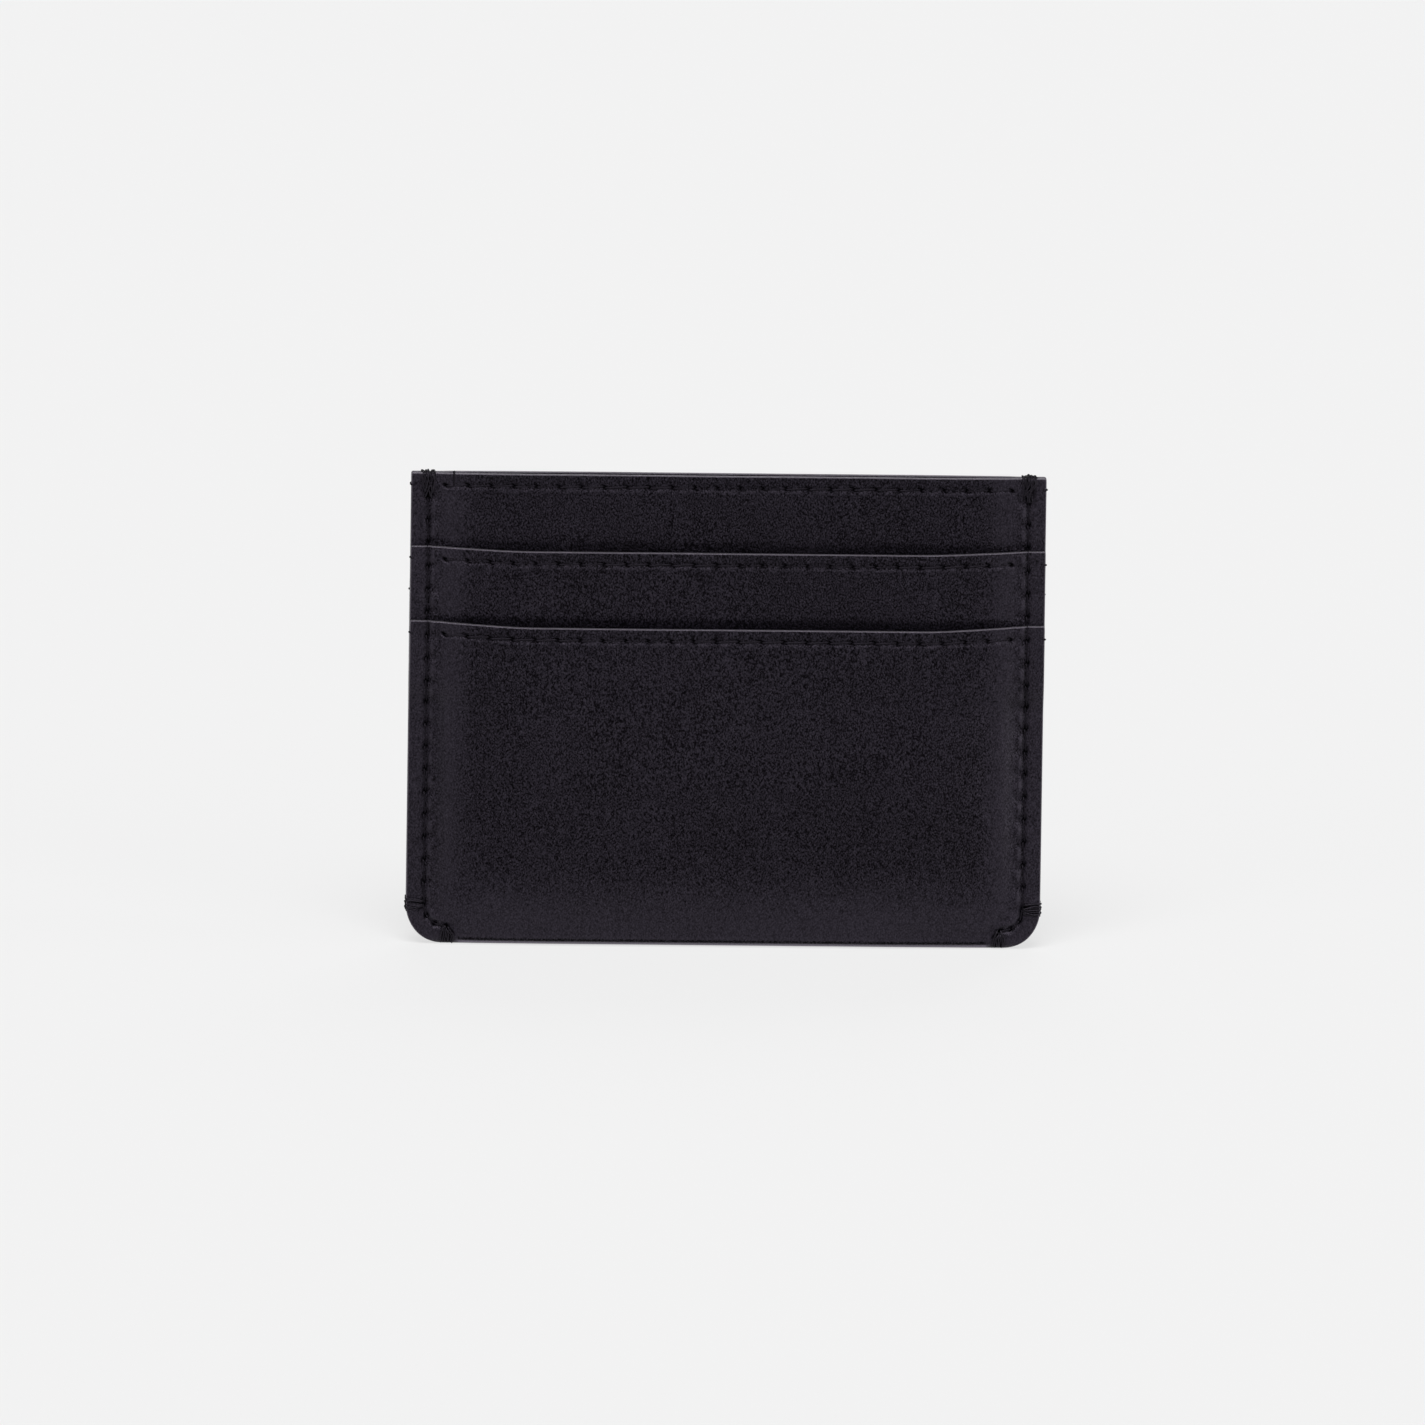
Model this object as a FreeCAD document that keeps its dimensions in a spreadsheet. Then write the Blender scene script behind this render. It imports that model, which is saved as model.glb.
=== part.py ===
"""A slim leather card holder, as a parametric FreeCAD document.

One leather wrap is folded at the bottom and makes the lower front slot and the back slip
pocket. Between its walls lie an upper front pocket on a fabric tail, a front and a back
body panel, and a folded lining that makes the centre pocket. Lockstitched seams press all
plies together along both sides and round the bottom corners, and bartacks bind the ends.

Frame, in millimetres: X across, -Y to the front, +Z up, origin under the middle of the fold.
Every ply is a sheet lofted through level sections. Towards a side edge the plies are pressed
together (margin), and between the seams they stand apart by the pocket gaps (centre).
"""

import FreeCAD, Part
import math
import os

import Sketcher

DIMENSIONS = {
    "half_width": 50.8,  # half the leather's width; the side bartacks stand a little prouder
    "height": 76.4,
    "corner_radius": 6.4,
    "seam_inset": 2.8,  # side edge to the side seam
    "pinch_inset": 3.5,  # side edge to where the plies start to part
    "open_inset": 7.2,  # side edge to where the pockets are fully open
    "leather": 0.9,
    "lining": 0.2,
    "play": 0.02,  # air between two plies that are pressed together
    "slot_gap": 0.8,  # an open card slot takes one 0.76 mm card
    "centre_half_gap": 0.6,
    "lower_mouth": 52.8,
    "upper_mouth": 64.7,
    "back_mouth": 59.0,
    "facing_low": 44.0,  # lower edge of the leather of the inner panels
    "taper_low": 38.0,  # below it the pressed margin holds fabric and wrap only
    "belly_level": 20.0,
    "belly_share": 0.62,  # how far the wrap has opened at belly_level
    "heel_share": 0.28,  # and at the top of the corner curve
    "fold_half": 2.3,  # half the thickness across the bottom fold
    "fold_radius": 1.3,
    "tail_low": 14.5,
    "tail_pressed": 17.5,  # up to here the tail is pressed on to the centre lining
    "lining_drop": 0.6,  # a lining ends this far below its leather's edge
    "centre_floor": 2.2,  # level of the centre lining's own fold
    "row_drop": 2.0,  # mouth edge to its stitch row
    "row_pitch": 3.62,
    "row_holes": 26,
    "tail_row_level": 16.0,
    "seam_top": 72.5,
    "seam_holes": 19,
    "needle_radius": 0.28,
    "thread_radius": 0.19,
    "thread_bend": 0.25,
    "tail_run": 1.4,  # a row's thread end lies this far in over the margin
    "tail_stub": 0.25,  # and stands this far past the side edge
    "top_tack_drop": 2.6,  # top edge to the holes of the top bartacks
    "bartack_spread": 0.7,  # between two loops of a bartack
    "notch_depth": 0.5,  # the fold bartacks sink into the fold
    "middle_plane": 0.96,  # the plies' middle plane lies this far behind the origin
}

os.makedirs("parts", exist_ok=True)
doc = FreeCAD.newDocument("card_holder")
sheet = doc.addObject("Spreadsheet::Sheet", "Sheet")
for row, (alias, value) in enumerate(DIMENSIONS.items(), start=1):
    sheet.set(f"A{row}", str(value))
    sheet.setAlias(f"A{row}", alias)
doc.recompute()


def size(alias):
    """A driving dimension's value, read from the spreadsheet."""
    return float(sheet.get(alias))


def evaluate(expression):
    """The number that an expression of spreadsheet cells comes to."""
    return float(sheet.evalExpression(expression))


PINCH = "(Sheet.half_width - Sheet.pinch_inset)"
OPEN = "(Sheet.half_width - Sheet.open_inset)"
SEAM = "(Sheet.half_width - Sheet.seam_inset)"
ARC_CENTRE = "(Sheet.half_width - Sheet.corner_radius)"
SEAM_PITCH = "((Sheet.seam_top - Sheet.corner_radius) / (Sheet.seam_holes - 1))"
ROW_HALF = "(Sheet.row_pitch * (Sheet.row_holes - 1) / 2)"  # the last hole of a mouth row

# Plies from the middle plane outwards: name, thickness cell, and the gap under it at the centre.
FRONT_PLIES = [
    ("centre_lining", "lining", "centre_half_gap"),
    ("body", "leather", "play"),
    ("tail", "lining", "slot_gap"),
    ("upper", "leather", "play"),
    ("wrap_lining", "lining", "slot_gap"),
    ("wrap", "leather", "play"),
]
BACK_PLIES = [
    ("centre_lining", "lining", "centre_half_gap"),
    ("body", "leather", "play"),
    ("wrap_lining", "lining", "slot_gap"),
    ("wrap", "leather", "play"),
]
SHORT_PLIES = ("body", "upper")  # leather that ends at facing_low


# ---------------------------------------------------------------- offsets from the middle plane


def ply_offsets(plies, name, place, low=False):
    """(inner, outer) expressions of a ply's faces. Place is margin or centre; low is below facing_low."""
    inner = "0"
    for ply, thickness, gap in plies:
        if low and ply in SHORT_PLIES:
            continue
        inner += f" + Sheet.{gap if place == 'centre' else 'play'}"
        if ply == name:
            return f"({inner})", f"({inner} + Sheet.{thickness})"
        inner += f" + Sheet.{thickness}"
    raise ValueError(name)


def ply_station(plies, name, level, low=False):
    """A level section of an inner ply: (level, margin offsets, centre offsets)."""
    return (
        level,
        ply_offsets(plies, name, "margin", low),
        ply_offsets(plies, name, "centre", low),
    )


def wrap_station(plies, name, level, share, low):
    """A level section of the wrap or its lining, opened from the fold by a share of its full gap."""
    full = ply_offsets(plies, "wrap", "centre")[1]
    outer = f"(Sheet.fold_half + {share} * ({full} - Sheet.fold_half))"
    inner = f"({outer} - Sheet.leather)"
    if name == "wrap_lining":
        outer = f"({inner} - Sheet.play)"
        inner = f"({outer} - Sheet.lining)"
    return level, ply_offsets(plies, name, "margin", low), (inner, outer)


def wrap_stations(plies, name, bottom, mouth):
    """The wall's sections from the fold up to its mouth."""
    return [
        wrap_station(plies, name, bottom, "0", True),
        wrap_station(plies, name, "Sheet.corner_radius", "Sheet.heel_share", True),
        wrap_station(plies, name, "Sheet.belly_level", "Sheet.belly_share", True),
        wrap_station(plies, name, "Sheet.taper_low", "1", True),
        wrap_station(plies, name, "Sheet.facing_low", "1", False),
        wrap_station(plies, name, mouth, "1", False),
    ]


# ---------------------------------------------------------------- sketches and features


def origin_plane(body, role):
    return next(f for f in body.Origin.OriginFeatures if f.Role == role)


def new_sketch(body, name, role, level="0"):
    sketch = body.newObject("Sketcher::SketchObject", name)
    sketch.AttachmentSupport = [(origin_plane(body, role), "")]
    sketch.MapMode = "FlatFace"
    sketch.setExpression("AttachmentOffset.Base.z", level)
    return sketch


def place_point(sketch, geometry, position, x, y):
    """Fixes a point of the sketch at two expressions."""
    for kind, expression in (("DistanceX", x), ("DistanceY", y)):
        value = evaluate(expression)
        index = sketch.addConstraint(Sketcher.Constraint(kind, geometry, position, value))
        sketch.setExpression(f"Constraints[{index}]", expression)


def add_polygon(sketch, points):
    """A closed polygon whose corners are pairs of expressions."""
    corners = [FreeCAD.Vector(evaluate(x), evaluate(y), 0) for x, y in points]
    count = len(corners)
    first = sketch.GeometryCount
    for i in range(count):
        sketch.addGeometry(Part.LineSegment(corners[i], corners[(i + 1) % count]))
    for i in range(count):
        join = Sketcher.Constraint("Coincident", first + i, 2, first + (i + 1) % count, 1)
        sketch.addConstraint(join)
    for i, (x, y) in enumerate(points):
        place_point(sketch, first + i, 1, x, y)


def face_line(margin, centre, sign):
    """One face of a ply in a level section, from left to right."""
    knots = [("Sheet.half_width", margin), (PINCH, margin), (OPEN, centre)]
    left = [(f"-{x}", f"{sign} * {y}") for x, y in knots]
    right = [(x, f"{sign} * {y}") for x, y in reversed(knots)]
    return left + right


def wall(body, name, stations, sign):
    """Lofts a ply's wall through its level sections. Sign -1 is the front half, 1 the back."""
    sketches = []
    for i, (level, margin, centre) in enumerate(stations):
        sketch = new_sketch(body, f"{name}_section_{i}", "XY_Plane", level)
        outer = face_line(margin[1], centre[1], sign)
        inner = face_line(margin[0], centre[0], sign)
        add_polygon(sketch, outer + inner[::-1])
        sketches.append(sketch)
    loft = body.newObject("PartDesign::AdditiveLoft", name)
    loft.Profile = sketches[0]
    loft.Sections = sketches[1:]
    loft.Ruled = True
    doc.recompute()


def floor_plate(body, name, front, back, thickness):
    """The fold's floor: the area between the two walls' outer faces, raised by one thickness."""
    level, margin, centre = front
    sketch = new_sketch(body, f"{name}_outline", "XY_Plane", level)
    far = face_line(back[1][1], back[2][1], 1)
    add_polygon(sketch, face_line(margin[1], centre[1], -1) + far[::-1])
    pad = body.newObject("PartDesign::Pad", name)
    pad.Profile = sketch
    pad.setExpression("Length", thickness)
    doc.recompute()


def check_cut(body, name, before):
    """A cut takes something away, but never much of a ply."""
    if not 0.9 * before < body.Shape.Volume < before - 1e-6:
        raise RuntimeError(f"{name} of {body.Label} does not cut as it should")


def cut(body, name, sketch, sides):
    """Cuts a sketch on the XZ plane through the front half, the back half or both."""
    before = body.Shape.Volume
    pocket = body.newObject("PartDesign::Pocket", name)
    pocket.Profile = sketch
    pocket.Type = "ThroughAll"
    pocket.SideType = "Symmetric" if sides == "both" else "One side"
    pocket.Reversed = sides == "front"
    doc.recompute()
    check_cut(body, name, before)
    return pocket


def cut_corners(body):
    """Trims a folded ply to the rounded bottom corners."""
    sketch = new_sketch(body, "corner_outline", "XZ_Plane")
    beyond, below = "(Sheet.half_width + 3)", "-3"
    for sign, start in ((-1, math.pi), (1, 1.5 * math.pi)):
        corners = [
            (f"{sign} * Sheet.half_width", "Sheet.corner_radius"),
            (f"{sign} * {beyond}", "Sheet.corner_radius"),
            (f"{sign} * {beyond}", below),
            (f"{sign} * {ARC_CENTRE}", below),
            (f"{sign} * {ARC_CENTRE}", "0"),
        ]
        points = [FreeCAD.Vector(evaluate(x), evaluate(z), 0) for x, z in corners]
        first = sketch.GeometryCount
        for a, b in zip(points, points[1:]):
            sketch.addGeometry(Part.LineSegment(a, b))
        middle = FreeCAD.Vector(sign * evaluate(ARC_CENTRE), size("corner_radius"), 0)
        circle = Part.Circle(middle, FreeCAD.Vector(0, 0, 1), size("corner_radius"))
        arc = sketch.addGeometry(Part.ArcOfCircle(circle, start, start + math.pi / 2))
        for i in range(3):
            sketch.addConstraint(Sketcher.Constraint("Coincident", first + i, 2, first + i + 1, 1))
        top_end, fold_end = (1, 2) if sign < 0 else (2, 1)
        sketch.addConstraint(Sketcher.Constraint("Coincident", first, 1, arc, top_end))
        sketch.addConstraint(Sketcher.Constraint("Coincident", first + 3, 2, arc, fold_end))
        for i, (x, z) in enumerate(corners[:4]):
            place_point(sketch, first + i, 1, x, z)
        place_point(sketch, first + 3, 2, *corners[4])
        centre = Sketcher.Constraint("DistanceX", arc, 3, middle.x)
        index = sketch.addConstraint(centre)
        sketch.setExpression(f"Constraints[{index}]", f"{sign} * {ARC_CENTRE}")
    cut(body, "corner_cut", sketch, "both")


def add_needle_holes(sketch, places):
    for x, z in places:
        middle = FreeCAD.Vector(evaluate(x), evaluate(z), 0)
        circle = Part.Circle(middle, FreeCAD.Vector(0, 0, 1), size("needle_radius"))
        hole = sketch.addGeometry(circle)
        index = sketch.addConstraint(Sketcher.Constraint("Radius", hole, circle.Radius))
        sketch.setExpression(f"Constraints[{index}]", "Sheet.needle_radius")
        place_point(sketch, hole, 3, x, z)


def hole_line(body, name, places, axis, pitch, count, sides):
    """Needle holes at equal steps: one pocket and a linear pattern of it."""
    sketch = new_sketch(body, f"{name}_first", "XZ_Plane")
    add_needle_holes(sketch, places)
    pocket = cut(body, f"{name}_needle", sketch, sides)
    before = body.Shape.Volume
    pattern = body.newObject("PartDesign::LinearPattern", name)
    pattern.Originals = [pocket]
    pattern.Direction = (sketch, [axis])
    pattern.setExpression("Length", f"{pitch} * ({count} - 1)")
    pattern.setExpression("Occurrences", count)
    body.Tip = pattern
    doc.recompute()
    check_cut(body, name, before)


def seam_holes(body, lowest=None):
    """The two side seams' holes, from the lowest one that this ply reaches."""
    steps = 0 if lowest is None else math.ceil(
        (evaluate(lowest) - size("corner_radius")) / evaluate(SEAM_PITCH)
    )
    start = f"(Sheet.corner_radius + {steps} * {SEAM_PITCH})"
    places = [(SEAM, start), (f"-{SEAM}", start)]
    count = f"(Sheet.seam_holes - {steps})"
    hole_line(body, "seam_holes", places, "V_Axis", SEAM_PITCH, count, "both")


def row_holes(body, name, level, sides):
    """A mouth row's holes."""
    places = [(f"-{ROW_HALF}", level)]
    hole_line(body, name, places, "H_Axis", "Sheet.row_pitch", "Sheet.row_holes", sides)


def odd_holes(body, name, places):
    """Holes that follow no straight line, mirrored to both sides."""
    sketch = new_sketch(body, f"{name}_places", "XZ_Plane")
    for sign in (-1, 1):
        add_needle_holes(sketch, [(f"{sign} * {x}", z) for x, z in places])
    cut(body, name, sketch, "both")


def move_to_frame(item):
    """Sets a sub-part at its place: modelled round the middle plane, moved to the shared frame."""
    item.setExpression("Placement.Base.y", "Sheet.middle_plane")


def new_body(label):
    body = doc.addObject("PartDesign::Body", label)
    body.Label = label
    move_to_frame(body)
    return body


# ---------------------------------------------------------------- where thread goes through


def arc_place(turn):
    """A hole on the seam's corner curve, turn degrees down from its upper end."""
    radius = "(Sheet.corner_radius - Sheet.seam_inset)"
    x = f"({ARC_CENTRE} + {radius} * cos({turn} * 1deg))"
    z = f"(Sheet.corner_radius - {radius} * sin({turn} * 1deg))"
    return x, z


CORNER_TURNS = [30, 60]
CORNER_PLACES = [arc_place(turn) for turn in CORNER_TURNS]
SIDE_TACK_PLACES = [(SEAM, f"(Sheet.corner_radius + {k} * Sheet.bartack_spread)") for k in (-1, 1)]
FOLD_TACK_PLACES = [
    (f"({ARC_CENTRE} + {k} * Sheet.bartack_spread)", "Sheet.seam_inset") for k in (-1, 0, 1)
]
TOP_TACK_LEVEL = "(Sheet.height - Sheet.top_tack_drop)"
TOP_TACK_PLACES = [(f"({SEAM} + {k} * Sheet.bartack_spread)", TOP_TACK_LEVEL) for k in (-1, 0, 1)]
LOW_PLACES = CORNER_PLACES + SIDE_TACK_PLACES + FOLD_TACK_PLACES

TOP_ROW = "(Sheet.height - Sheet.row_drop)"
UPPER_ROW = "(Sheet.upper_mouth - Sheet.row_drop)"
LOWER_ROW = "(Sheet.lower_mouth - Sheet.row_drop)"
BACK_ROW = "(Sheet.back_mouth - Sheet.row_drop)"
TAIL_ROW = "Sheet.tail_row_level"


# ---------------------------------------------------------------- the plies


def fold_edges(shape):
    """The names of the long outer edges at the bottom of the fold."""
    names = []
    for i, edge in enumerate(shape.Edges, start=1):
        box = edge.BoundBox
        runs_across = box.XLength > box.YLength
        if box.ZMax < 1e-6 and runs_across and abs(box.Center.y) > 1.0:
            names.append(f"Edge{i}")
    return names


def make_outer_wrap():
    """The leather wrap: front wall, fold and back wall."""
    body = new_body("outer_wrap")
    front = wrap_stations(FRONT_PLIES, "wrap", "0", "Sheet.lower_mouth")
    back = wrap_stations(BACK_PLIES, "wrap", "0", "Sheet.back_mouth")
    floor_plate(body, "fold_floor", front[0], back[0], "Sheet.leather")
    wall(body, "front_wall", front, -1)
    wall(body, "back_wall", back, 1)
    walls = body.Tip
    fillet = body.newObject("PartDesign::Fillet", "fold_round")
    fillet.Base = (walls, fold_edges(walls.Shape))
    fillet.setExpression("Radius", "Sheet.fold_radius")
    doc.recompute()
    cut_corners(body)
    notch = new_sketch(body, "fold_notch_outline", "XZ_Plane")
    for sign in (-1, 1):
        low, high = (f"{sign} * ({ARC_CENTRE} + {k} * 2 * Sheet.bartack_spread)" for k in (-1, 1))
        top = "Sheet.notch_depth"
        add_polygon(notch, [(low, "-1"), (high, "-1"), (high, top), (low, top)])
    cut(body, "fold_notches", notch, "both")
    seam_holes(body)
    odd_holes(body, "low_holes", LOW_PLACES)
    row_holes(body, "front_row_holes", LOWER_ROW, "front")
    row_holes(body, "back_row_holes", BACK_ROW, "back")


def make_outer_wrap_lining():
    """The fabric lining glued and sewn inside the wrap."""
    body = new_body("outer_wrap_lining")
    floor = "(Sheet.leather + Sheet.play)"
    mouths = [f"(Sheet.{mouth} - Sheet.lining_drop)" for mouth in ("lower_mouth", "back_mouth")]
    front = wrap_stations(FRONT_PLIES, "wrap_lining", floor, mouths[0])
    back = wrap_stations(BACK_PLIES, "wrap_lining", floor, mouths[1])
    floor_plate(body, "fold_floor", front[0], back[0], "Sheet.lining")
    wall(body, "front_wall", front, -1)
    wall(body, "back_wall", back, 1)
    cut_corners(body)
    seam_holes(body)
    odd_holes(body, "low_holes", LOW_PLACES)
    row_holes(body, "front_row_holes", LOWER_ROW, "front")
    row_holes(body, "back_row_holes", BACK_ROW, "back")


def make_front_upper_pocket():
    """The leather facing of the upper card slot."""
    body = new_body("front_upper_pocket")
    stations = [
        ply_station(FRONT_PLIES, "upper", level) for level in ("Sheet.facing_low", "Sheet.upper_mouth")
    ]
    wall(body, "facing", stations, -1)
    seam_holes(body, "Sheet.facing_low + 1")
    row_holes(body, "row_holes", UPPER_ROW, "front")


def make_front_upper_pocket_tail():
    """The fabric tail that hangs behind the facing and closes the upper slot at its foot."""
    body = new_body("front_upper_pocket_tail")
    margin = ply_offsets(FRONT_PLIES, "tail", "margin", True)
    inner = "(Sheet.centre_half_gap + Sheet.lining + Sheet.play)"
    pressed = (inner, f"({inner} + Sheet.lining)")
    stations = [
        ("Sheet.tail_low", margin, pressed),
        ("Sheet.tail_pressed", margin, pressed),
        ply_station(FRONT_PLIES, "tail", "Sheet.belly_level", True),
        ply_station(FRONT_PLIES, "tail", "Sheet.taper_low", True),
        ply_station(FRONT_PLIES, "tail", "Sheet.facing_low"),
        ply_station(FRONT_PLIES, "tail", "(Sheet.upper_mouth - Sheet.lining_drop)"),
    ]
    wall(body, "tail", stations, -1)
    seam_holes(body, "Sheet.tail_low + 1")
    row_holes(body, "mouth_row_holes", UPPER_ROW, "front")
    row_holes(body, "foot_row_holes", TAIL_ROW, "front")


def make_body_panel(label, plies, sign, side):
    """A leather body panel that shows above the pockets and carries the top edge."""
    body = new_body(label)
    stations = [ply_station(plies, "body", level) for level in ("Sheet.facing_low", "Sheet.height")]
    wall(body, "facing", stations, sign)
    seam_holes(body, "Sheet.facing_low + 1")
    odd_holes(body, "top_holes", TOP_TACK_PLACES)
    row_holes(body, "row_holes", TOP_ROW, side)


def make_centre_pocket_lining():
    """The folded fabric bag between the body panels."""
    body = new_body("centre_pocket_lining")
    levels = ("Sheet.centre_floor", "(Sheet.height - Sheet.lining_drop)")
    front, back = (
        [ply_station(plies, "centre_lining", level) for level in levels]
        for plies in (FRONT_PLIES, BACK_PLIES)
    )
    floor_plate(body, "fold_floor", front[0], back[0], "Sheet.lining")
    wall(body, "front_wall", front, -1)
    wall(body, "back_wall", back, 1)
    cut_corners(body)
    seam_holes(body)
    odd_holes(body, "odd_holes", LOW_PLACES + TOP_TACK_PLACES)
    row_holes(body, "front_row_holes", TOP_ROW, "front")
    row_holes(body, "back_row_holes", TOP_ROW, "back")
    row_holes(body, "tail_row_holes", TAIL_ROW, "front")


# ---------------------------------------------------------------- the surfaces that thread lies on


def face_stations(stations, face):
    """A wall's face as numbers: (level, margin offset, centre offset). Face is 0 inner, 1 outer."""
    return [
        (evaluate(level), evaluate(margin[face]), evaluate(centre[face]))
        for level, margin, centre in stations
    ]


def offset_at(table, x, z):
    """How far a lofted face stands from the middle plane at a place."""
    for (z0, m0, c0), (z1, m1, c1) in zip(table, table[1:]):
        if z <= z1 + 1e-9:
            break
    share = min(max((z - z0) / (z1 - z0), 0.0), 1.0)
    margin, centre = m0 + share * (m1 - m0), c0 + share * (c1 - c0)
    pinch, opened = evaluate(PINCH), evaluate(OPEN)
    across = min(max((pinch - abs(x)) / (pinch - opened), 0.0), 1.0)
    return margin + across * (centre - margin)


WRAP_FRONT = face_stations(wrap_stations(FRONT_PLIES, "wrap", "0", "Sheet.lower_mouth"), 1)
WRAP_BACK = face_stations(wrap_stations(BACK_PLIES, "wrap", "0", "Sheet.back_mouth"), 1)


def panel_face(plies, name, face):
    levels = ("Sheet.facing_low", "Sheet.height")
    return face_stations([ply_station(plies, name, level) for level in levels], face)


UPPER_FACE = panel_face(FRONT_PLIES, "upper", 1)
BODY_FRONT = panel_face(FRONT_PLIES, "body", 1)
BODY_BACK = panel_face(BACK_PLIES, "body", 1)
FRONT_STEPS = [
    (size("lower_mouth"), WRAP_FRONT),
    (size("upper_mouth"), UPPER_FACE),
    (size("height"), BODY_FRONT),
]
BACK_STEPS = [(size("back_mouth"), WRAP_BACK), (size("height"), BODY_BACK)]
FACES = ((FRONT_STEPS, -1), (BACK_STEPS, 1))
THREAD = size("thread_radius")
LIFT = THREAD + 0.01  # a thread's centreline stands this far off the leather it lies on
SHORT = 2 * THREAD + 0.03  # a stitch stops this far before the next one's hole
MEET = 0.03  # half the gap between two legs that meet in a hole
CROSS_MEET = 0.1  # the same for a bartack's legs, which come from both faces


def outer_offset(steps, x, z):
    """The outermost leather's offset at a place, whichever panel shows there."""
    for top, table in steps:
        if z <= top:
            return offset_at(table, x, z)
    return offset_at(steps[-1][1], x, steps[-1][0])


# ---------------------------------------------------------------- thread


def thread_solid(points):
    """A round thread along a path of straight runs joined by tangent arcs."""
    bend = size("thread_bend")
    path = [FreeCAD.Vector(*p) for p in points]
    edges, start = [], path[0]
    for before, corner, after in zip(path, path[1:], path[2:]):
        to_before, to_after = (before - corner).normalize(), (after - corner).normalize()
        half = (math.pi - to_before.getAngle(to_after)) / 2
        if half < 0.01:
            continue
        room = 0.45 * min((before - corner).Length, (after - corner).Length)
        tangent = min(bend * math.tan(half), room)
        radius = tangent / math.tan(half)
        entry, leave = corner + to_before * tangent, corner + to_after * tangent
        inward = (to_before + to_after).normalize()
        crown = corner + inward * (math.hypot(tangent, radius) - radius)
        edges += [Part.LineSegment(start, entry).toShape(), Part.Arc(entry, crown, leave).toShape()]
        start = leave
    edges.append(Part.LineSegment(start, path[-1]).toShape())
    wire = Part.Wire(edges)
    ring = Part.Wire([Part.makeCircle(THREAD, path[0], path[1] - path[0])])
    solid = wire.makePipeShell([ring], True, False)
    expected = math.pi * THREAD**2 * wire.Length
    if not solid.isValid() or abs(solid.Volume - expected) > 0.03 * expected:
        raise RuntimeError(f"a thread's volume is {solid.Volume:.4f} and not {expected:.4f}")
    return solid


def add_threads(label, solids):
    """One node of separate thread solids."""
    feature = doc.addObject("Part::Feature", label)
    feature.Label = label
    feature.Shape = Part.makeCompound(solids)
    move_to_frame(feature)


def surface_path(steps, sign, start, end):
    """Points a thread follows over the leather between two holes, over mouths and bends in between."""
    (xa, za), (xb, zb) = start, end
    mouths = [top for top, _ in steps[:-1]]
    levels = {za, zb}
    for top, table in steps:
        levels.update(z for z, _, _ in table if min(za, zb) < z < max(za, zb) and z <= top)
    points = []
    for z in sorted(levels, reverse=za > zb):
        share = 0 if za == zb else (z - za) / (zb - za)
        x = xa + share * (xb - xa)
        over_mouth = z not in (za, zb) and z in mouths
        clear = z + LIFT if over_mouth else z
        points.append((x, sign * (outer_offset(steps, x, z) + LIFT), clear))
    if za == zb:
        points.append((xb, sign * (outer_offset(steps, xb, zb) + LIFT), zb))
    return points


def stitch(steps, sign, start, end):
    """One stitch: a leg out of its hole, then along the leather to just short of the next hole."""
    points = surface_path(steps, sign, start, end)
    before, last = FreeCAD.Vector(*points[-2]), FreeCAD.Vector(*points[-1])
    last += (before - last).normalize() * SHORT
    leg = (start[0], sign * MEET, start[1])
    return thread_solid([leg] + points[:-1] + [tuple(last)])


def seam_thread(label, side):
    """A side seam's threads, front and back. Side is -1 left and 1 right."""
    x = side * evaluate(SEAM)
    pitch = evaluate(SEAM_PITCH)
    levels = [size("seam_top") - k * pitch for k in range(int(size("seam_holes")))]
    solids = []
    for high, low in zip(levels, levels[1:]):
        for steps, sign in FACES:
            solids.append(stitch(steps, sign, (x, high), (x, low)))
    add_threads(label, solids)


def corner_thread(label, side):
    """The short stitches round a bottom corner."""
    turns = [0] + CORNER_TURNS + [90]
    places = [tuple(evaluate(value) for value in arc_place(turn)) for turn in turns]
    solids = []
    for (xa, za), (xb, zb) in zip(places, places[1:]):
        for steps, sign in FACES:
            solids.append(stitch(steps, sign, (side * xa, za), (side * xb, zb)))
    add_threads(label, solids)


def row_knees(table, xa, xb, z):
    """Where a row's run bends between two holes: the ends of the opening slope."""
    least_run = 0.1
    knees = [side * evaluate(place) for side in (-1, 1) for place in (PINCH, OPEN)]
    first, last = xa + least_run, xb - SHORT - least_run
    return [(x, offset_at(table, x, z)) for x in sorted(knees) if first < x < last]


def row_stitch(table, xa, xb, z, sign, root, lift, last):
    """One stitch of a row on one face. Only the row's last stitch goes down into its far hole."""
    end = xb if last else xb - SHORT
    run = [(xa, offset_at(table, xa, z)), *row_knees(table, xa, xb, z), (end, offset_at(table, end, z))]
    path = [(xa, sign * root, z)]
    path += [(x, sign * (y + lift), z) for x, y in run]
    if last:
        path.append((xb, sign * root, z))
    return thread_solid(path)


def row_thread(label, outer_table, inner_table, sign, level, tails=True):
    """A mouth row through one panel and the fabric behind it, with thread ends at the side edges."""
    z = evaluate(level)
    pitch, half = size("row_pitch"), evaluate(ROW_HALF)
    across = [-half + k * pitch for k in range(int(size("row_holes")))]
    solids = []
    for xa, xb in zip(across, across[1:]):
        middle = (offset_at(outer_table, xa, z) + offset_at(inner_table, xa, z)) / 2
        last = xb == across[-1]
        solids.append(row_stitch(outer_table, xa, xb, z, sign, middle + MEET, LIFT, last))
        solids.append(row_stitch(inner_table, xa, xb, z, sign, middle - MEET, -LIFT, last))
    if tails:
        edge = size("half_width")
        near, far = edge - size("tail_run"), edge + size("tail_stub")
        y = sign * (offset_at(outer_table, edge, z) + LIFT)
        for side in (-1, 1):
            solids.append(thread_solid([(side * near, y, z), (side * far, y, z)]))
    add_threads(label, solids)


def loop_round(front, back):
    """A bartack's loop: from its hole over the front, round an edge and back over the other face."""
    return thread_solid(front + back[::-1])


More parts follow.
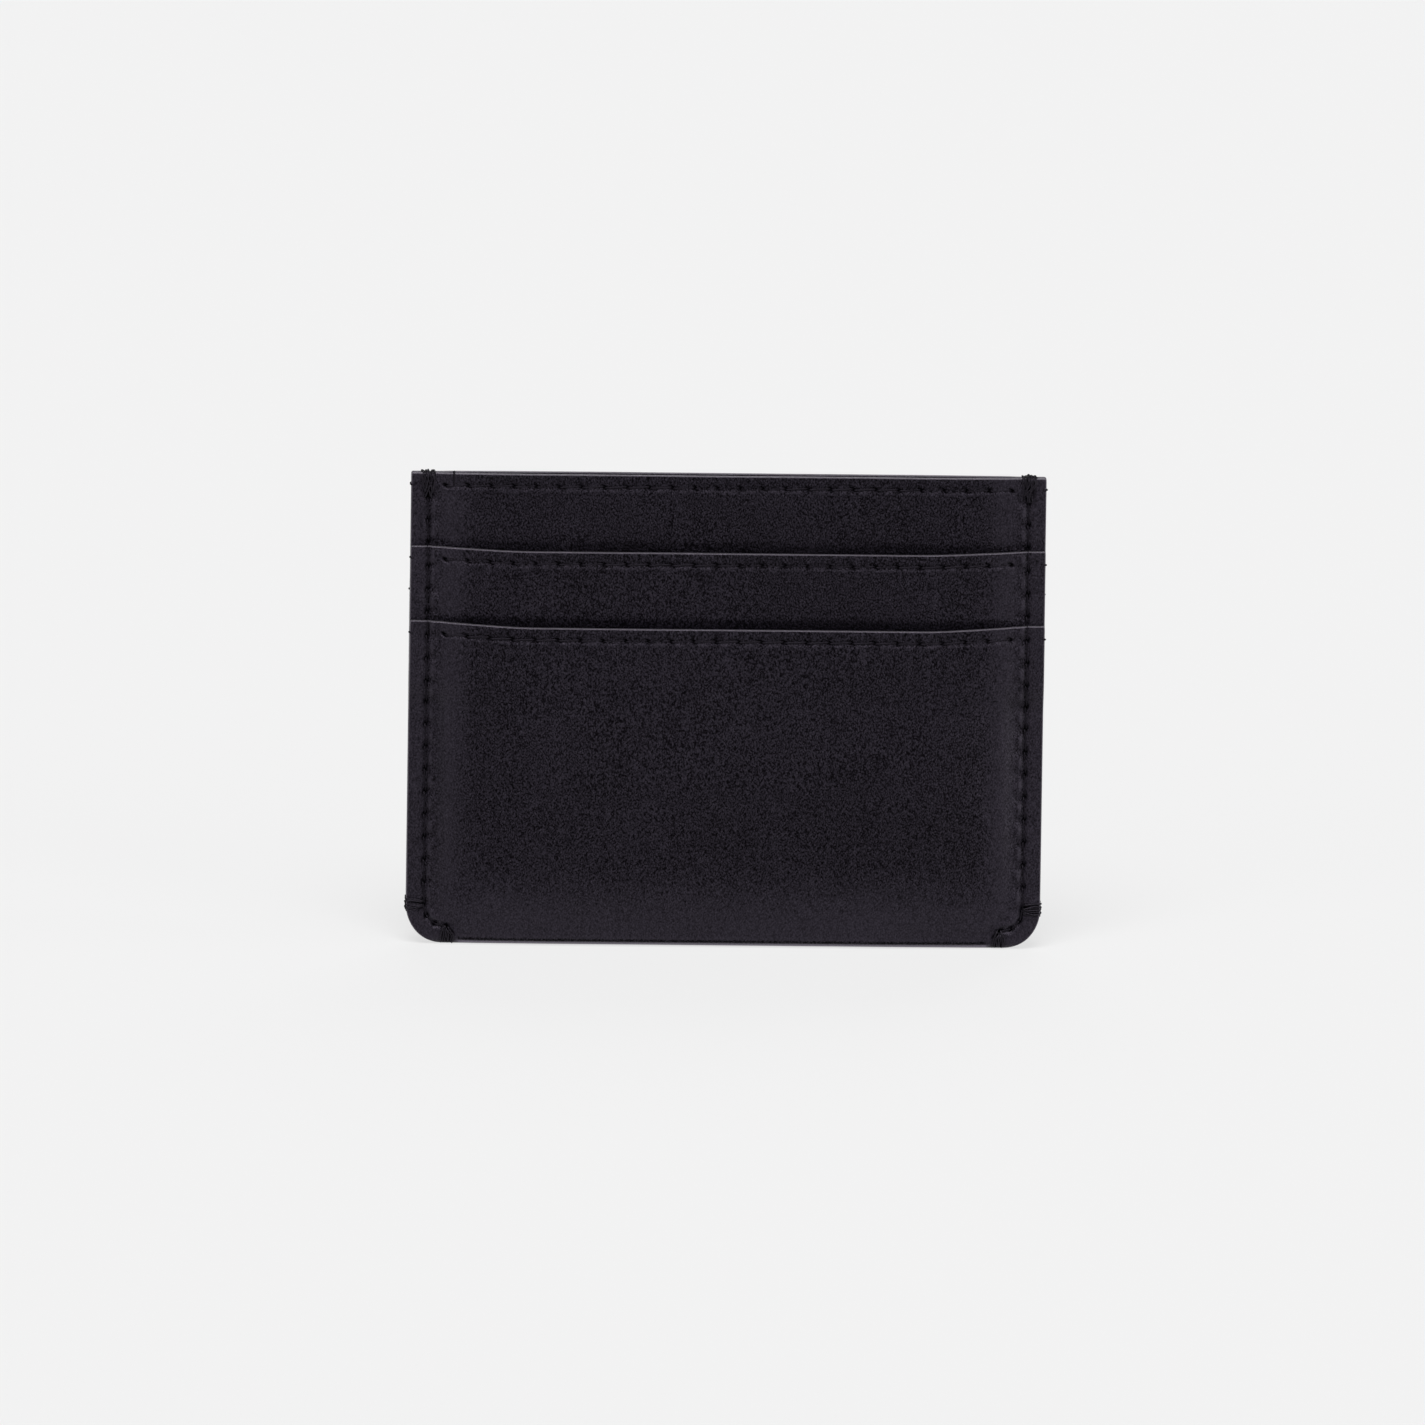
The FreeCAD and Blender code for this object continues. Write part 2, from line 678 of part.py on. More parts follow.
def top_tack(label, side):
    """The seam's back stitches over the top edge."""
    crown = size("height") + LIFT
    panels = [(-1, BODY_FRONT), (1, BODY_BACK)]
    solids = []
    for place in TOP_TACK_PLACES:
        x, z = side * evaluate(place[0]), evaluate(place[1])
        halves = []
        for sign, table in panels:
            y = sign * (offset_at(table, x, z) + LIFT)
            halves.append([(x, sign * CROSS_MEET, z), (x, y, z), (x, y, crown)])
        solids.append(loop_round(*halves))
    add_threads(label, solids)


def side_tack(label, side):
    """Loops from the seam round the side edge, at the top of the corner curve."""
    rim = size("half_width") + LIFT
    solids = []
    for place in SIDE_TACK_PLACES:
        x, z = evaluate(place[0]), evaluate(place[1])
        halves = []
        for steps, sign in FACES:
            y = sign * (outer_offset(steps, rim, z) + LIFT)
            halves.append([(side * x, sign * CROSS_MEET, z), (side * x, y, z), (side * rim, y, z)])
        solids.append(loop_round(*halves))
    add_threads(label, solids)


def fold_tack(label, side):
    """Loops from the seam's end under the fold, sunk in the fold's notch."""
    low = THREAD + 0.1
    bend = size("fold_radius")
    heel = 0.62 * bend  # the loop leaves the wall for the fold's round between bend and heel
    ease = 0.12  # and has come this far in by then
    solids = []
    for place in FOLD_TACK_PLACES:
        x, z = side * evaluate(place[0]), evaluate(place[1])
        halves = []
        for steps, sign in FACES:
            upper = outer_offset(steps, x, z) + LIFT
            lower = outer_offset(steps, x, bend) + LIFT
            halves.append([
                (x, sign * CROSS_MEET, z),
                (x, sign * upper, z),
                (x, sign * lower, bend),
                (x, sign * (lower - ease), heel),
                (x, sign * (lower - heel), low),
            ])
        solids.append(loop_round(*halves))
    add_threads(label, solids)


# ---------------------------------------------------------------- build, check and write

make_outer_wrap()
make_outer_wrap_lining()
make_front_upper_pocket()
make_front_upper_pocket_tail()
make_body_panel("front_body_panel", FRONT_PLIES, -1, "front")
make_body_panel("back_body_panel", BACK_PLIES, 1, "back")
make_centre_pocket_lining()

WRAP_LINING_FRONT = face_stations(
    wrap_stations(FRONT_PLIES, "wrap_lining", "Sheet.leather", "Sheet.lower_mouth"), 0
)
WRAP_LINING_BACK = face_stations(
    wrap_stations(BACK_PLIES, "wrap_lining", "Sheet.leather", "Sheet.back_mouth"), 0
)
TAIL_INNER = panel_face(FRONT_PLIES, "tail", 0)
CENTRE_FRONT = panel_face(FRONT_PLIES, "centre_lining", 0)
CENTRE_BACK = panel_face(BACK_PLIES, "centre_lining", 0)
TAIL_FOOT = [
    (z, m + size("play") + size("lining"), c + size("play") + size("lining"))
    for z, m, c in panel_face(FRONT_PLIES, "centre_lining", 1)
]

row_thread("front_top_stitches", BODY_FRONT, CENTRE_FRONT, -1, TOP_ROW)
row_thread("front_upper_stitches", UPPER_FACE, TAIL_INNER, -1, UPPER_ROW)
row_thread("front_lower_stitches", WRAP_FRONT, WRAP_LINING_FRONT, -1, LOWER_ROW)
row_thread("back_top_stitches", BODY_BACK, CENTRE_BACK, 1, TOP_ROW)
row_thread("back_pocket_stitches", WRAP_BACK, WRAP_LINING_BACK, 1, BACK_ROW)
row_thread("pocket_tail_stitches", TAIL_FOOT, CENTRE_FRONT, -1, TAIL_ROW, tails=False)
for side, word in ((-1, "left"), (1, "right")):
    seam_thread(f"{word}_seam_stitches", side)
    corner_thread(f"{word}_corner_stitches", side)
    top_tack(f"{word}_top_bartack", side)
    side_tack(f"{word}_side_bartack", side)
    fold_tack(f"{word}_fold_bartack", side)

doc.recompute()
for item in doc.Objects:
    if "Invalid" in item.State or "Error" in item.State:
        raise RuntimeError(f"{item.Label} failed: {item.State}")
for item in doc.Objects:
    if item.TypeId not in ("PartDesign::Body", "Part::Feature"):
        continue
    if item.Shape.isNull() or not item.Shape.isValid():
        raise RuntimeError(f"{item.Label} has no valid shape")
    item.Shape.exportStep(f"parts/{item.Label}.step")
    box = item.Shape.BoundBox
    print(f"{item.Label}: {len(item.Shape.Solids)} solids, {item.Shape.Volume:.1f} mm3, "
          f"x {box.XMin:.2f}..{box.XMax:.2f} y {box.YMin:.2f}..{box.YMax:.2f} "
          f"z {box.ZMin:.2f}..{box.ZMax:.2f}")
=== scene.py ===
import math

import bpy
import numpy as np
from mathutils import Matrix, Vector


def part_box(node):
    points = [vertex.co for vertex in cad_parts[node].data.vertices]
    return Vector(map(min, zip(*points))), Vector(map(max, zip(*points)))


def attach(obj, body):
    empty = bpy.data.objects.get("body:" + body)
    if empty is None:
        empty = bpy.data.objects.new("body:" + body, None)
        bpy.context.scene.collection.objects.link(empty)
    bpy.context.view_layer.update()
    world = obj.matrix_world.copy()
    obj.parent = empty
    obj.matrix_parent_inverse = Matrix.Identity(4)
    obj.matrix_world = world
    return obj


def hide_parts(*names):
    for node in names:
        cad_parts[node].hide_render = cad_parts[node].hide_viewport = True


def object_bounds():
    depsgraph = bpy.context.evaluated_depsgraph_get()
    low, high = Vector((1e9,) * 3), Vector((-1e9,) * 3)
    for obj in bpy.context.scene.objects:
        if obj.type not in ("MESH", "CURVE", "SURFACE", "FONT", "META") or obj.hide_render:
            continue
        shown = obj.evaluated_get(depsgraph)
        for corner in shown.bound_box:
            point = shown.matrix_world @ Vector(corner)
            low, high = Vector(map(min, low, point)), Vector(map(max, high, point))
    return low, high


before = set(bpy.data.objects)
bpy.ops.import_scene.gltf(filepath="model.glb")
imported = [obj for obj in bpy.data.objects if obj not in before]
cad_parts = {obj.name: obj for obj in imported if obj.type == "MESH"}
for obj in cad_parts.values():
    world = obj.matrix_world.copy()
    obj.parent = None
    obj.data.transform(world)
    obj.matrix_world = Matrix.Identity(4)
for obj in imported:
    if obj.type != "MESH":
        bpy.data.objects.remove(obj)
cad_box = [list(corner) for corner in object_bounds()]

# Lengths below are in millimetres, and become metres when a mesh is made.
MM = 0.001


def corners_mm(node):
    """Lowest and highest corner of a CAD node, in millimetres."""
    low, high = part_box(node)
    return np.array(low) / MM, np.array(high) / MM


def level_of(node):
    """The height of the middle of a CAD node."""
    low, high = corners_mm(node)
    return float(low[2] + high[2]) / 2


# ---------------------------------------------------------------- sizes, read from the frame

WRAP_LOW, WRAP_HIGH = corners_mm("outer_wrap")
UPPER_LOW, UPPER_HIGH = corners_mm("front_upper_pocket")
BODY_LOW, BODY_HIGH = corners_mm("front_body_panel")
TAIL_LOW, TAIL_HIGH = corners_mm("front_upper_pocket_tail")
CENTRE_LOW, CENTRE_HIGH = corners_mm("centre_pocket_lining")
SEAM_LOW, SEAM_HIGH = corners_mm("left_seam_stitches")

MIDDLE = float(CENTRE_LOW[1] + CENTRE_HIGH[1]) / 2  # y of the plane that the plies lie round
HALF = float(WRAP_HIGH[0])  # half the leather's width
TOP = float(BODY_HIGH[2])
ROW_DROP = TOP - level_of("front_top_stitches")
UPPER_MOUTH = float(UPPER_HIGH[2])
LOWER_MOUTH = level_of("front_lower_stitches") + ROW_DROP
BACK_MOUTH = float(WRAP_HIGH[2])
SEAM = -float(SEAM_LOW[0] + SEAM_HIGH[0]) / 2
SEAM_INSET = HALF - SEAM
CORNER = level_of("left_side_bartack")  # radius of the bottom corners
ARC_X = HALF - CORNER
FACING_LOW = float(UPPER_LOW[2])  # lower edge of the inner panels' leather
TAPER_LOW = FACING_LOW - 6.0  # below it the pressed margin holds fabric and wrap only

LEATHER = 0.9
LINING = 0.2
PLAY = 0.02  # air between two plies that are pressed together
FOLD_HALF = 2.3  # half the thickness across the bottom fold
FOLD_RISE = 1.9  # height of the fold's round
THREAD = 0.19
TACK_THREAD = 0.14  # a bartack's thread, pulled thin

ROW_HALF = 45.25  # a mouth row's last hole
ROW_STEPS = 25
SEAM_STEPS = 18
SEAM_TOP = 72.5
ROW_X = np.linspace(-ROW_HALF, ROW_HALF, ROW_STEPS + 1)
SEAM_Z = np.linspace(CORNER, SEAM_TOP, SEAM_STEPS + 1)
ROW_PITCH = ROW_X[1] - ROW_X[0]
SEAM_PITCH = SEAM_Z[1] - SEAM_Z[0]
ARC_RADIUS = CORNER - SEAM_INSET
ARC_TURNS = np.radians([30, 60, 90])
ARC_HOLES = [(ARC_X + ARC_RADIUS * math.cos(a), CORNER - ARC_RADIUS * math.sin(a)) for a in ARC_TURNS]

SIDE_EDGE = 0.8  # how much of the mouths' bright edge paint, which is partly painted highlight, the side edges have
MOUTH_ROUND = 0.45  # how far a cut edge bulges, as a share of half the thickness
SIDE_ROUND = 0.5
LEATHER_RIM = MOUTH_ROUND * LEATHER / 2
SIDE_RIM = SIDE_ROUND * LEATHER / 2
RIM_ANGLES = np.radians([18, 40, 65, 90, 115, 140, 162])  # rings of points round a cut edge
FOLD_POWER = 2 / 2.3  # the fold's round is a little squarer than a half circle

SLIT_LONG = 0.50  # half the length of a needle slit
SLIT_WIDE = 0.23
SLIT_DEEP = 0.7
ROW_LIFT = -0.24  # a row's thread, over the smooth face
SEAM_LIFT = -0.34
CORNER_LIFT = -0.30
HOLE_DIVE = 0.45  # how far a stitch's ends go down into its holes
TACK_DIVE = -0.35  # where a bartack's loop starts, under the face

FRONT, BACK = -1, 1
FRONT_SEED, BACK_SEED = 11, 12  # of the wrap's rumples
NO_NOOK = -10.0  # for a panel with no pocket in front of it


# ---------------------------------------------------------------- the plies' smooth shapes


def smooth(t):
    """0 below 0, 1 above 1, and an even slope-free step between."""
    t = np.clip(t, 0.0, 1.0)
    return t * t * (3 - 2 * t)


def bell(value, centre, width):
    """1 at the centre, and less the further a value is from it."""
    return np.exp(-(((value - centre) / width) ** 2))


def inset(x, z):
    """Distance in from the leather's outline, at the sides and round the bottom corners."""
    past = np.abs(x) - ARC_X
    corner = CORNER - np.hypot(np.maximum(past, 0), CORNER - z) + np.maximum(-past, 0)
    return np.where(z < CORNER, corner, HALF - np.abs(x))


def opened(x, z):
    """How far the pockets have parted: 0 in the sewn margin, 1 in the middle."""
    depth = inset(x, z) - 3.0
    return 0.42 * smooth(depth / 4.2) + 0.58 * smooth(depth / 17.0)


def pressed(z, with_facings, without):
    """A margin's offset, which steps in below the inner panels' leather."""
    return without + (with_facings - without) * smooth((z - TAPER_LOW) / (FACING_LOW - TAPER_LOW))


def bellied(z, full, reach):
    """A wrap wall's offset at the middle, which swells from the fold."""
    return FOLD_HALF + (full - FOLD_HALF) * np.sin(np.pi / 2 * np.clip(z / reach, 0, 1))


FRONT_OPEN = MIDDLE - float(WRAP_LOW[1])
BACK_OPEN = float(WRAP_HIGH[1]) - MIDDLE
UPPER_OPEN = MIDDLE - float(UPPER_LOW[1])
BODY_OPEN = MIDDLE - float(BODY_LOW[1])
TAIL_OPEN = MIDDLE - float(TAIL_LOW[1])
CENTRE_OPEN = MIDDLE - float(CENTRE_LOW[1])

CENTRE_PRESSED = PLAY + LINING
BODY_PRESSED = CENTRE_PRESSED + PLAY + LEATHER
TAIL_PRESSED = BODY_PRESSED + PLAY + LINING
UPPER_PRESSED = TAIL_PRESSED + PLAY + LEATHER
LINING_PLY = PLAY + LINING
WRAP_PLY = PLAY + LEATHER
FRONT_PRESSED = UPPER_PRESSED + LINING_PLY + WRAP_PLY
FRONT_PRESSED_LOW = CENTRE_PRESSED + 2 * LINING_PLY + WRAP_PLY
BACK_PRESSED = BODY_PRESSED + LINING_PLY + WRAP_PLY
BACK_PRESSED_LOW = CENTRE_PRESSED + LINING_PLY + WRAP_PLY


def ply(margin, centre):
    """An outer face as a function of place, from its margin's and its middle's offsets."""

    def offset(x, z):
        m = margin(z) if callable(margin) else margin
        c = centre(z) if callable(centre) else centre
        return m + (c - m) * opened(x, z)

    return offset


def under(offset, depth):
    """The face that lies a depth inside another one."""
    return lambda x, z: offset(x, z) - depth


def tail_centre(z):
    levels = [14.5, 17.5, 21.0, TAPER_LOW, FACING_LOW]
    pressed_on = CENTRE_OPEN + LINING_PLY
    hanging = pressed_on + 0.8
    return np.interp(z, levels, [pressed_on, pressed_on, hanging, hanging, TAIL_OPEN])


wrap_front = ply(
    lambda z: pressed(z, FRONT_PRESSED, FRONT_PRESSED_LOW), lambda z: bellied(z, FRONT_OPEN, 30.0)
)
wrap_back = ply(
    lambda z: pressed(z, BACK_PRESSED, BACK_PRESSED_LOW), lambda z: bellied(z, BACK_OPEN, 30.0)
)
upper_face = ply(UPPER_PRESSED, UPPER_OPEN)
body_face = ply(BODY_PRESSED, BODY_OPEN)
tail_face = ply(lambda z: pressed(z, TAIL_PRESSED, CENTRE_PRESSED + LINING_PLY), tail_centre)
centre_face = ply(CENTRE_PRESSED, CENTRE_OPEN)


def mouth_sag(mouth, depth):
    """An open mouth hangs a little lower at its middle than at its sewn ends."""

    def sag(x, z):
        reach = smooth((z - mouth + 16.0) / 16.0)
        return reach * (0.04 - depth * smooth((HALF - np.abs(x)) / 20.0))

    return sag


lower_sag = mouth_sag(LOWER_MOUTH, 0.72)
upper_sag = mouth_sag(UPPER_MOUTH, 0.56)
back_sag = mouth_sag(BACK_MOUTH, 0.5)


def no_sag(x, z):
    return 0.0 * z


def rumple(x, z, seed):
    """Slow unevenness of the leather, a few hundredths of a millimetre high."""
    rng = np.random.default_rng(seed)
    total = 0.0 * x
    for _ in range(7):
        length, turn, phase = rng.uniform(9, 34), rng.uniform(0, math.pi), rng.uniform(0, 2 * math.pi)
        along = x * math.cos(turn) + z * math.sin(turn)
        total = total + np.sin(2 * math.pi * along / length + phase) * length / 34
    return 0.035 * total * (0.25 + 0.75 * opened(x, z))


def rumpled(seed):
    """The unevenness alone, as a function of place."""
    return lambda x, z: rumple(x, z, seed)


# ---------------------------------------------------------------- how thread pulls the leather in


def pits(x, z, holes, slash):
    """Slanted needle holes: 1 at the heart of each, 0 away from them. Slash is the slit's direction."""
    total = 0.0 * x
    for hx, hz in holes:
        dx, dz = x - hx, z - hz
        along = dx * slash[0] + dz * slash[1]
        across = dx * slash[1] - dz * slash[0]
        total = np.maximum(total, np.exp(-((along / SLIT_LONG) ** 2) - (across / SLIT_WIDE) ** 2))
    return total


ROW_SLASH = (math.cos(math.radians(-38)), math.sin(math.radians(-38)))
SEAM_SLASH = (math.cos(math.radians(62)), math.sin(math.radians(62)))


def seam_holes(low, high):
    """The side seams' holes between two levels, both sides, with the corner's if they are reached."""
    holes = [(side * SEAM, z) for side in (-1, 1) for z in SEAM_Z if low < z < high]
    if low < CORNER:
        holes += [(side * x, z) for side in (-1, 1) for x, z in ARC_HOLES]
    return holes


def scallop(distance, steps):
    """0 beside each hole and 1 halfway between two."""
    return 0.5 - 0.5 * np.cos(2 * np.pi * distance / steps)


def row_reach(x):
    """1 where a mouth row runs, and 0 in the margins past its ends."""
    return smooth((ROW_HALF + 1.5 - np.abs(x)) / 2.0)


def sewn(x, z, row, mouth, low):
    """(height over the smooth face, hole mask) of a panel with one mouth row and the side seams."""
    seam = inset(x, z) - SEAM_INSET
    drop = z - row
    free = row_reach(x)
    slits = pits(x, z, seam_holes(low, mouth), SEAM_SLASH)
    slits = np.maximum(slits, pits(x, z, [(hx, row) for hx in ROW_X], ROW_SLASH))
    between = scallop(z - CORNER, SEAM_PITCH)
    across = scallop(x - ROW_HALF, ROW_PITCH)
    # The seam: its groove, the pillows inside it, the puckers at its holes and the pillows outside.
    height = -0.26 * bell(seam, 0.0, 0.38)
    height = height + 0.36 * bell(seam, 1.0, 0.6) * between
    height = height - 0.10 * bell(seam, 1.6, 1.2) * (1 - between) ** 3
    height = height + 0.06 * bell(seam, -1.0, 0.5) * between
    # The row: its groove, and the pillows below and above it.
    height = height - 0.13 * free * bell(drop, 0.0, 0.42)
    height = height + 0.10 * free * bell(drop, -0.75, 0.45) * across
    height = height + 0.05 * free * bell(drop, 0.75, 0.4) * across
    return height - SLIT_DEEP * slits, slits


def painted_light(x, z, row, nook, nook_shade):
    """Painted light as a mask: painted highlight (above 0) along the margins, beside the seams, low on
    the panel and on the puckered ridges, and painted shade (below 0) in the grooves and just above the
    mouth of the pocket in front, whose level is nook."""
    depth = inset(x, z)
    seam = depth - SEAM_INSET
    drop = z - row
    free = row_reach(x)
    margin = 0.45 * smooth((0.2 - seam) / 0.4)
    beside = 0.55 * bell(seam, 3.6, 2.8)
    low = 0.58 * smooth((15.0 - z) / 12.0)
    ridge = 1.2 * bell(seam, 0.75, 0.3) * scallop(z - CORNER, SEAM_PITCH)
    row_ridge = 0.5 * free * bell(drop, -0.62, 0.25) * scallop(x - ROW_HALF, ROW_PITCH)
    # Painted highlight: the margins, beside the seams, near the bottom and on the pucker ridges.
    painted_highlight = np.maximum.reduce([margin, beside, low, ridge, row_ridge])
    # Painted shade just above the mouth of the pocket in front.
    hidden = nook_shade * smooth((1.4 - (z - nook)) / 1.1) * smooth((depth - 2.0) / 2.0)
    # Painted shade along the seam's and the row's grooves.
    groove = 0.25 * bell(seam, 0.0, 0.2) + 0.2 * free * bell(drop, 0.0, 0.2)
    return painted_highlight * (1 - hidden) - hidden - groove


TACK_PATCHES = (  # x, z, half width and half height of the leather that each bartack covers
    (SEAM, TOP - 1.4, 1.1, 2.2),
    (HALF - 1.5, CORNER, 1.6, 0.9),
    (ARC_X - 0.15, 1.2, 0.95, 1.5),
)


def bartack_shade(x, z):
    """Painted shade on the leather under the bartacks, as a mask."""
    total = 0.0 * x
    for a, b, wide, high in TACK_PATCHES:
        total = total + np.exp(-(np.abs((np.abs(x) - a) / wide) ** 4 + np.abs((z - b) / high) ** 4))
    return 0.9 * total


# ---------------------------------------------------------------- grids


def ladder(low, high, holes, coarse):
    """Sorted positions from low to high, fine beside each hole and at most coarse elsewhere."""
    near = [h + d for h in holes for d in (-0.62, -0.4, -0.2, 0.0, 0.2, 0.4, 0.62)]
    marks = [low] + sorted(p for p in near if low + 0.1 < p < high - 0.1) + [high]
    steps = [marks[0]]
    for mark in marks[1:]:
        gap = mark - steps[-1]
        if gap < 0.07 and mark != high:
            continue
        count = max(1, math.ceil(gap / coarse))
        steps += [steps[-1] + gap / count * (k + 1) for k in range(count)][:-1] + [mark]
    return np.array(steps)


def columns(holes, coarse, rim):
    """Positions across the width, fine at the side seams and beside a row's holes."""
    margin = [0.0, 0.25, 0.6, 1.0, 1.5, 1.95, 2.25, 2.5, 2.65, 2.8, 2.95, 3.1, 3.35, 3.65, 4.0, 4.4]
    edge = HALF - rim
    left = [-edge + d - rim * (d > 0) for d in margin]
    inner = ladder(left[-1] + 0.3, -left[-1] - 0.3, holes, coarse)
    return np.array(left + list(inner) + [-p for p in reversed(left)])


def outline(z):
    """Half the width of the leather at a level: the bottom corners are rounded."""
    below = np.clip(CORNER - z, 0, CORNER)
    return ARC_X + np.sqrt(np.maximum(CORNER**2 - below**2, 0))


def follow_outline(across, z):
    """Moves columns in with the rounded corners: near the sides by the whole amount, less inside."""
    pull = HALF - outline(z)
    share = smooth((np.abs(across) - 20.0) / (HALF - 26.0))
    return across - np.sign(across) * pull * share


# ---------------------------------------------------------------- closed meshes


def unit(v):
    return v / np.maximum(np.linalg.norm(v, axis=-1, keepdims=True), 1e-12)


def grid_normals(points):
    rows, across = np.gradient(points, axis=0), np.gradient(points, axis=1)
    return unit(np.cross(rows, across))


def add_mesh(name, points, faces, masks=None):
    """A smooth mesh object from points in millimetres."""
    mesh = bpy.data.meshes.new(name)
    mesh.from_pydata((points * MM).tolist(), [], faces)
    mesh.shade_smooth()
    for label, values in (masks or {}).items():
        attribute = mesh.attributes.new(label, "FLOAT", "POINT")
        attribute.data.foreach_set("value", np.asarray(values, np.float32))
    obj = bpy.data.objects.new(name, mesh)
    bpy.context.scene.collection.objects.link(obj)
    return obj


def loop_indices(rows, cols):
    """The border of a grid as indices, once round: top, right, bottom, left."""
    grid = np.arange(rows * cols).reshape(rows, cols)
    return np.concatenate([grid[0, :-1], grid[:-1, -1], grid[-1, :0:-1], grid[:0:-1, 0]])


def slab(name, face, base, thickness, masks=None):
    """A closed sheet. Face is its outer side as a grid of points, and base the same without sewing
    marks. Its rim bulges, a little less at the mouths than at the sides."""
    rows, cols = face.shape[:2]
    count = rows * cols
    normals = grid_normals(base)
    inner = base - thickness * normals
    border = loop_indices(rows, cols)
    outer_loop = face.reshape(-1, 3)[border]
    loop_normals = normals.reshape(-1, 3)[border]
    run = unit(np.roll(outer_loop, -1, axis=0) - np.roll(outer_loop, 1, axis=0))
    out = unit(np.cross(loop_normals, run))
    bulge = np.full(len(border), SIDE_ROUND)
    bulge[: cols] = MOUTH_ROUND
    bulge[cols + rows - 2 : 2 * cols + rows - 2] = MOUTH_ROUND
    middle = outer_loop - loop_normals * thickness / 2
    rings = []
    for angle in RIM_ANGLES:
        power = 2 / (2 + 2.2 * (1 - bulge[:, None]))
        up = np.sign(math.cos(angle)) * abs(math.cos(angle)) ** power
        side = math.sin(angle) ** power
        rings.append(middle + thickness / 2 * (loop_normals * up + out * side * bulge[:, None]))
    points = np.concatenate([face.reshape(-1, 3), inner.reshape(-1, 3)] + rings)
    a = np.arange(count).reshape(rows, cols)
    quads = np.stack([a[:-1, :-1], a[1:, :-1], a[1:, 1:], a[:-1, 1:]], -1).reshape(-1, 4)
    faces = [quads, quads[:, ::-1] + count]
    loops = [border] + [2 * count + k * len(border) + np.arange(len(border)) for k in range(len(rings))]
    loops.append(border + count)
    for near, far in zip(loops, loops[1:]):
        faces.append(np.stack([near, np.roll(near, -1), np.roll(far, -1), far], -1))
    attributes = {}
    for label, values in (masks or {}).items():
        attributes[label] = np.zeros(len(points))
        attributes[label][:count] = values.reshape(-1)
    attributes["rim"] = np.zeros(len(points))
    attributes["rim"][2 * count :] = np.tile(np.where(bulge == MOUTH_ROUND, 1.0, SIDE_EDGE), len(rings))
    return add_mesh(name, points, np.concatenate(faces).tolist(), attributes)


def wall_layout(side, levels, across):
    """x and z of a wall's grid. Rows run down on the front and up on the back."""
    z, x = np.meshgrid(levels[::-1] if side == FRONT else levels, across, indexing="ij")
    return x, z


def wall_points(side, x, z, offset, dip, height=None):
    """Points of a wall's outer face."""
    out = offset(x, z)
    if height is not None:
        out = out + height(x, z)
    return np.stack([x, MIDDLE + side * out, z + dip(x, z)], -1)


def fold_grid(across, floor, front, back, rise, count=22):
    """Points round the bottom fold, from the front wall to the back wall, without its end rows."""
    rows = []
    for angle in np.linspace(0, math.pi, count + 2)[1:-1]:
        c, s = math.cos(angle), math.sin(angle)
        z = np.full_like(across, floor + rise * (1 - s**FOLD_POWER))
        x = follow_outline(across, z)
        start = front(x, 0 * x + floor + rise) if c > 0 else back(x, 0 * x + floor + rise)
        y = -math.copysign(abs(c) ** FOLD_POWER, c) * start
        rows.append(np.stack([x, MIDDLE + y, z], -1))
    return np.stack(rows)


# ---------------------------------------------------------------- thread


def twisted_tube(path, radius, phase=0.0, sides=10, lay=1.15):
    """A two-ply thread along a path: its two-lobed section turns once in each lay length."""
    path = np.asarray(path, float)
    runs = unit(np.gradient(path, axis=0))
    length = np.concatenate([[0], np.cumsum(np.linalg.norm(np.diff(path, axis=0), axis=1))])
    across = np.cross(runs[0], [0.0, 0.0, 1.0])
    if np.linalg.norm(across) < 0.2:
        across = np.cross(runs[0], [1.0, 0.0, 0.0])
    across = unit(across)
    rings = []
    for point, run, at in zip(path, runs, length):
        across = unit(across - run * np.dot(across, run))
        up = np.cross(run, across)
        turn = 2 * math.pi * at / lay + phase
        angles = np.arange(sides) * 2 * math.pi / sides
        swell = radius * (0.80 + 0.26 * np.abs(np.cos(angles)))[:, None]
        ring = across * np.cos(angles + turn)[:, None] + up * np.sin(angles + turn)[:, None]
        rings.append(point + swell * ring)
    points = np.concatenate(rings + [path[:1], path[-1:]])
    grid = np.arange(len(path) * sides).reshape(len(path), sides)
    ahead = np.roll(grid, -1, axis=1)
    quads = np.stack([grid[:-1], ahead[:-1], ahead[1:], grid[1:]], -1).reshape(-1, 4).tolist()
    first, last = len(points) - 2, len(points) - 1
    caps = [[ahead[0, k], grid[0, k], first] for k in range(sides)]
    caps += [[grid[-1, k], ahead[-1, k], last] for k in range(sides)]
    return points, quads + [[int(i) for i in cap] for cap in caps]


def spline(points, count):
    """A smooth path of count points through the given ones."""
    points = np.asarray(points, float)
    padded = np.concatenate([2 * points[:1] - points[1:2], points, 2 * points[-1:] - points[-2:-1]])
    samples = []
    for t in np.linspace(0, len(points) - 1 - 1e-9, count):
        k, f = int(t), t - int(t)
        p0, p1, p2, p3 = padded[k : k + 4]
        samples.append(0.5 * (2 * p1 + (p2 - p0) * f + (2 * p0 - 5 * p1 + 4 * p2 - p3) * f**2
                              + (3 * p1 - p0 - 3 * p2 + p3) * f**3))
    return np.array(samples)


def join_tubes(name, tubes):
    points, faces, start = [], [], 0
    for tube_points, tube_faces in tubes:
        points.append(tube_points)
        faces += [[i + start for i in face] for face in tube_faces]
        start += len(tube_points)
    return add_mesh(name, np.concatenate(points), faces)


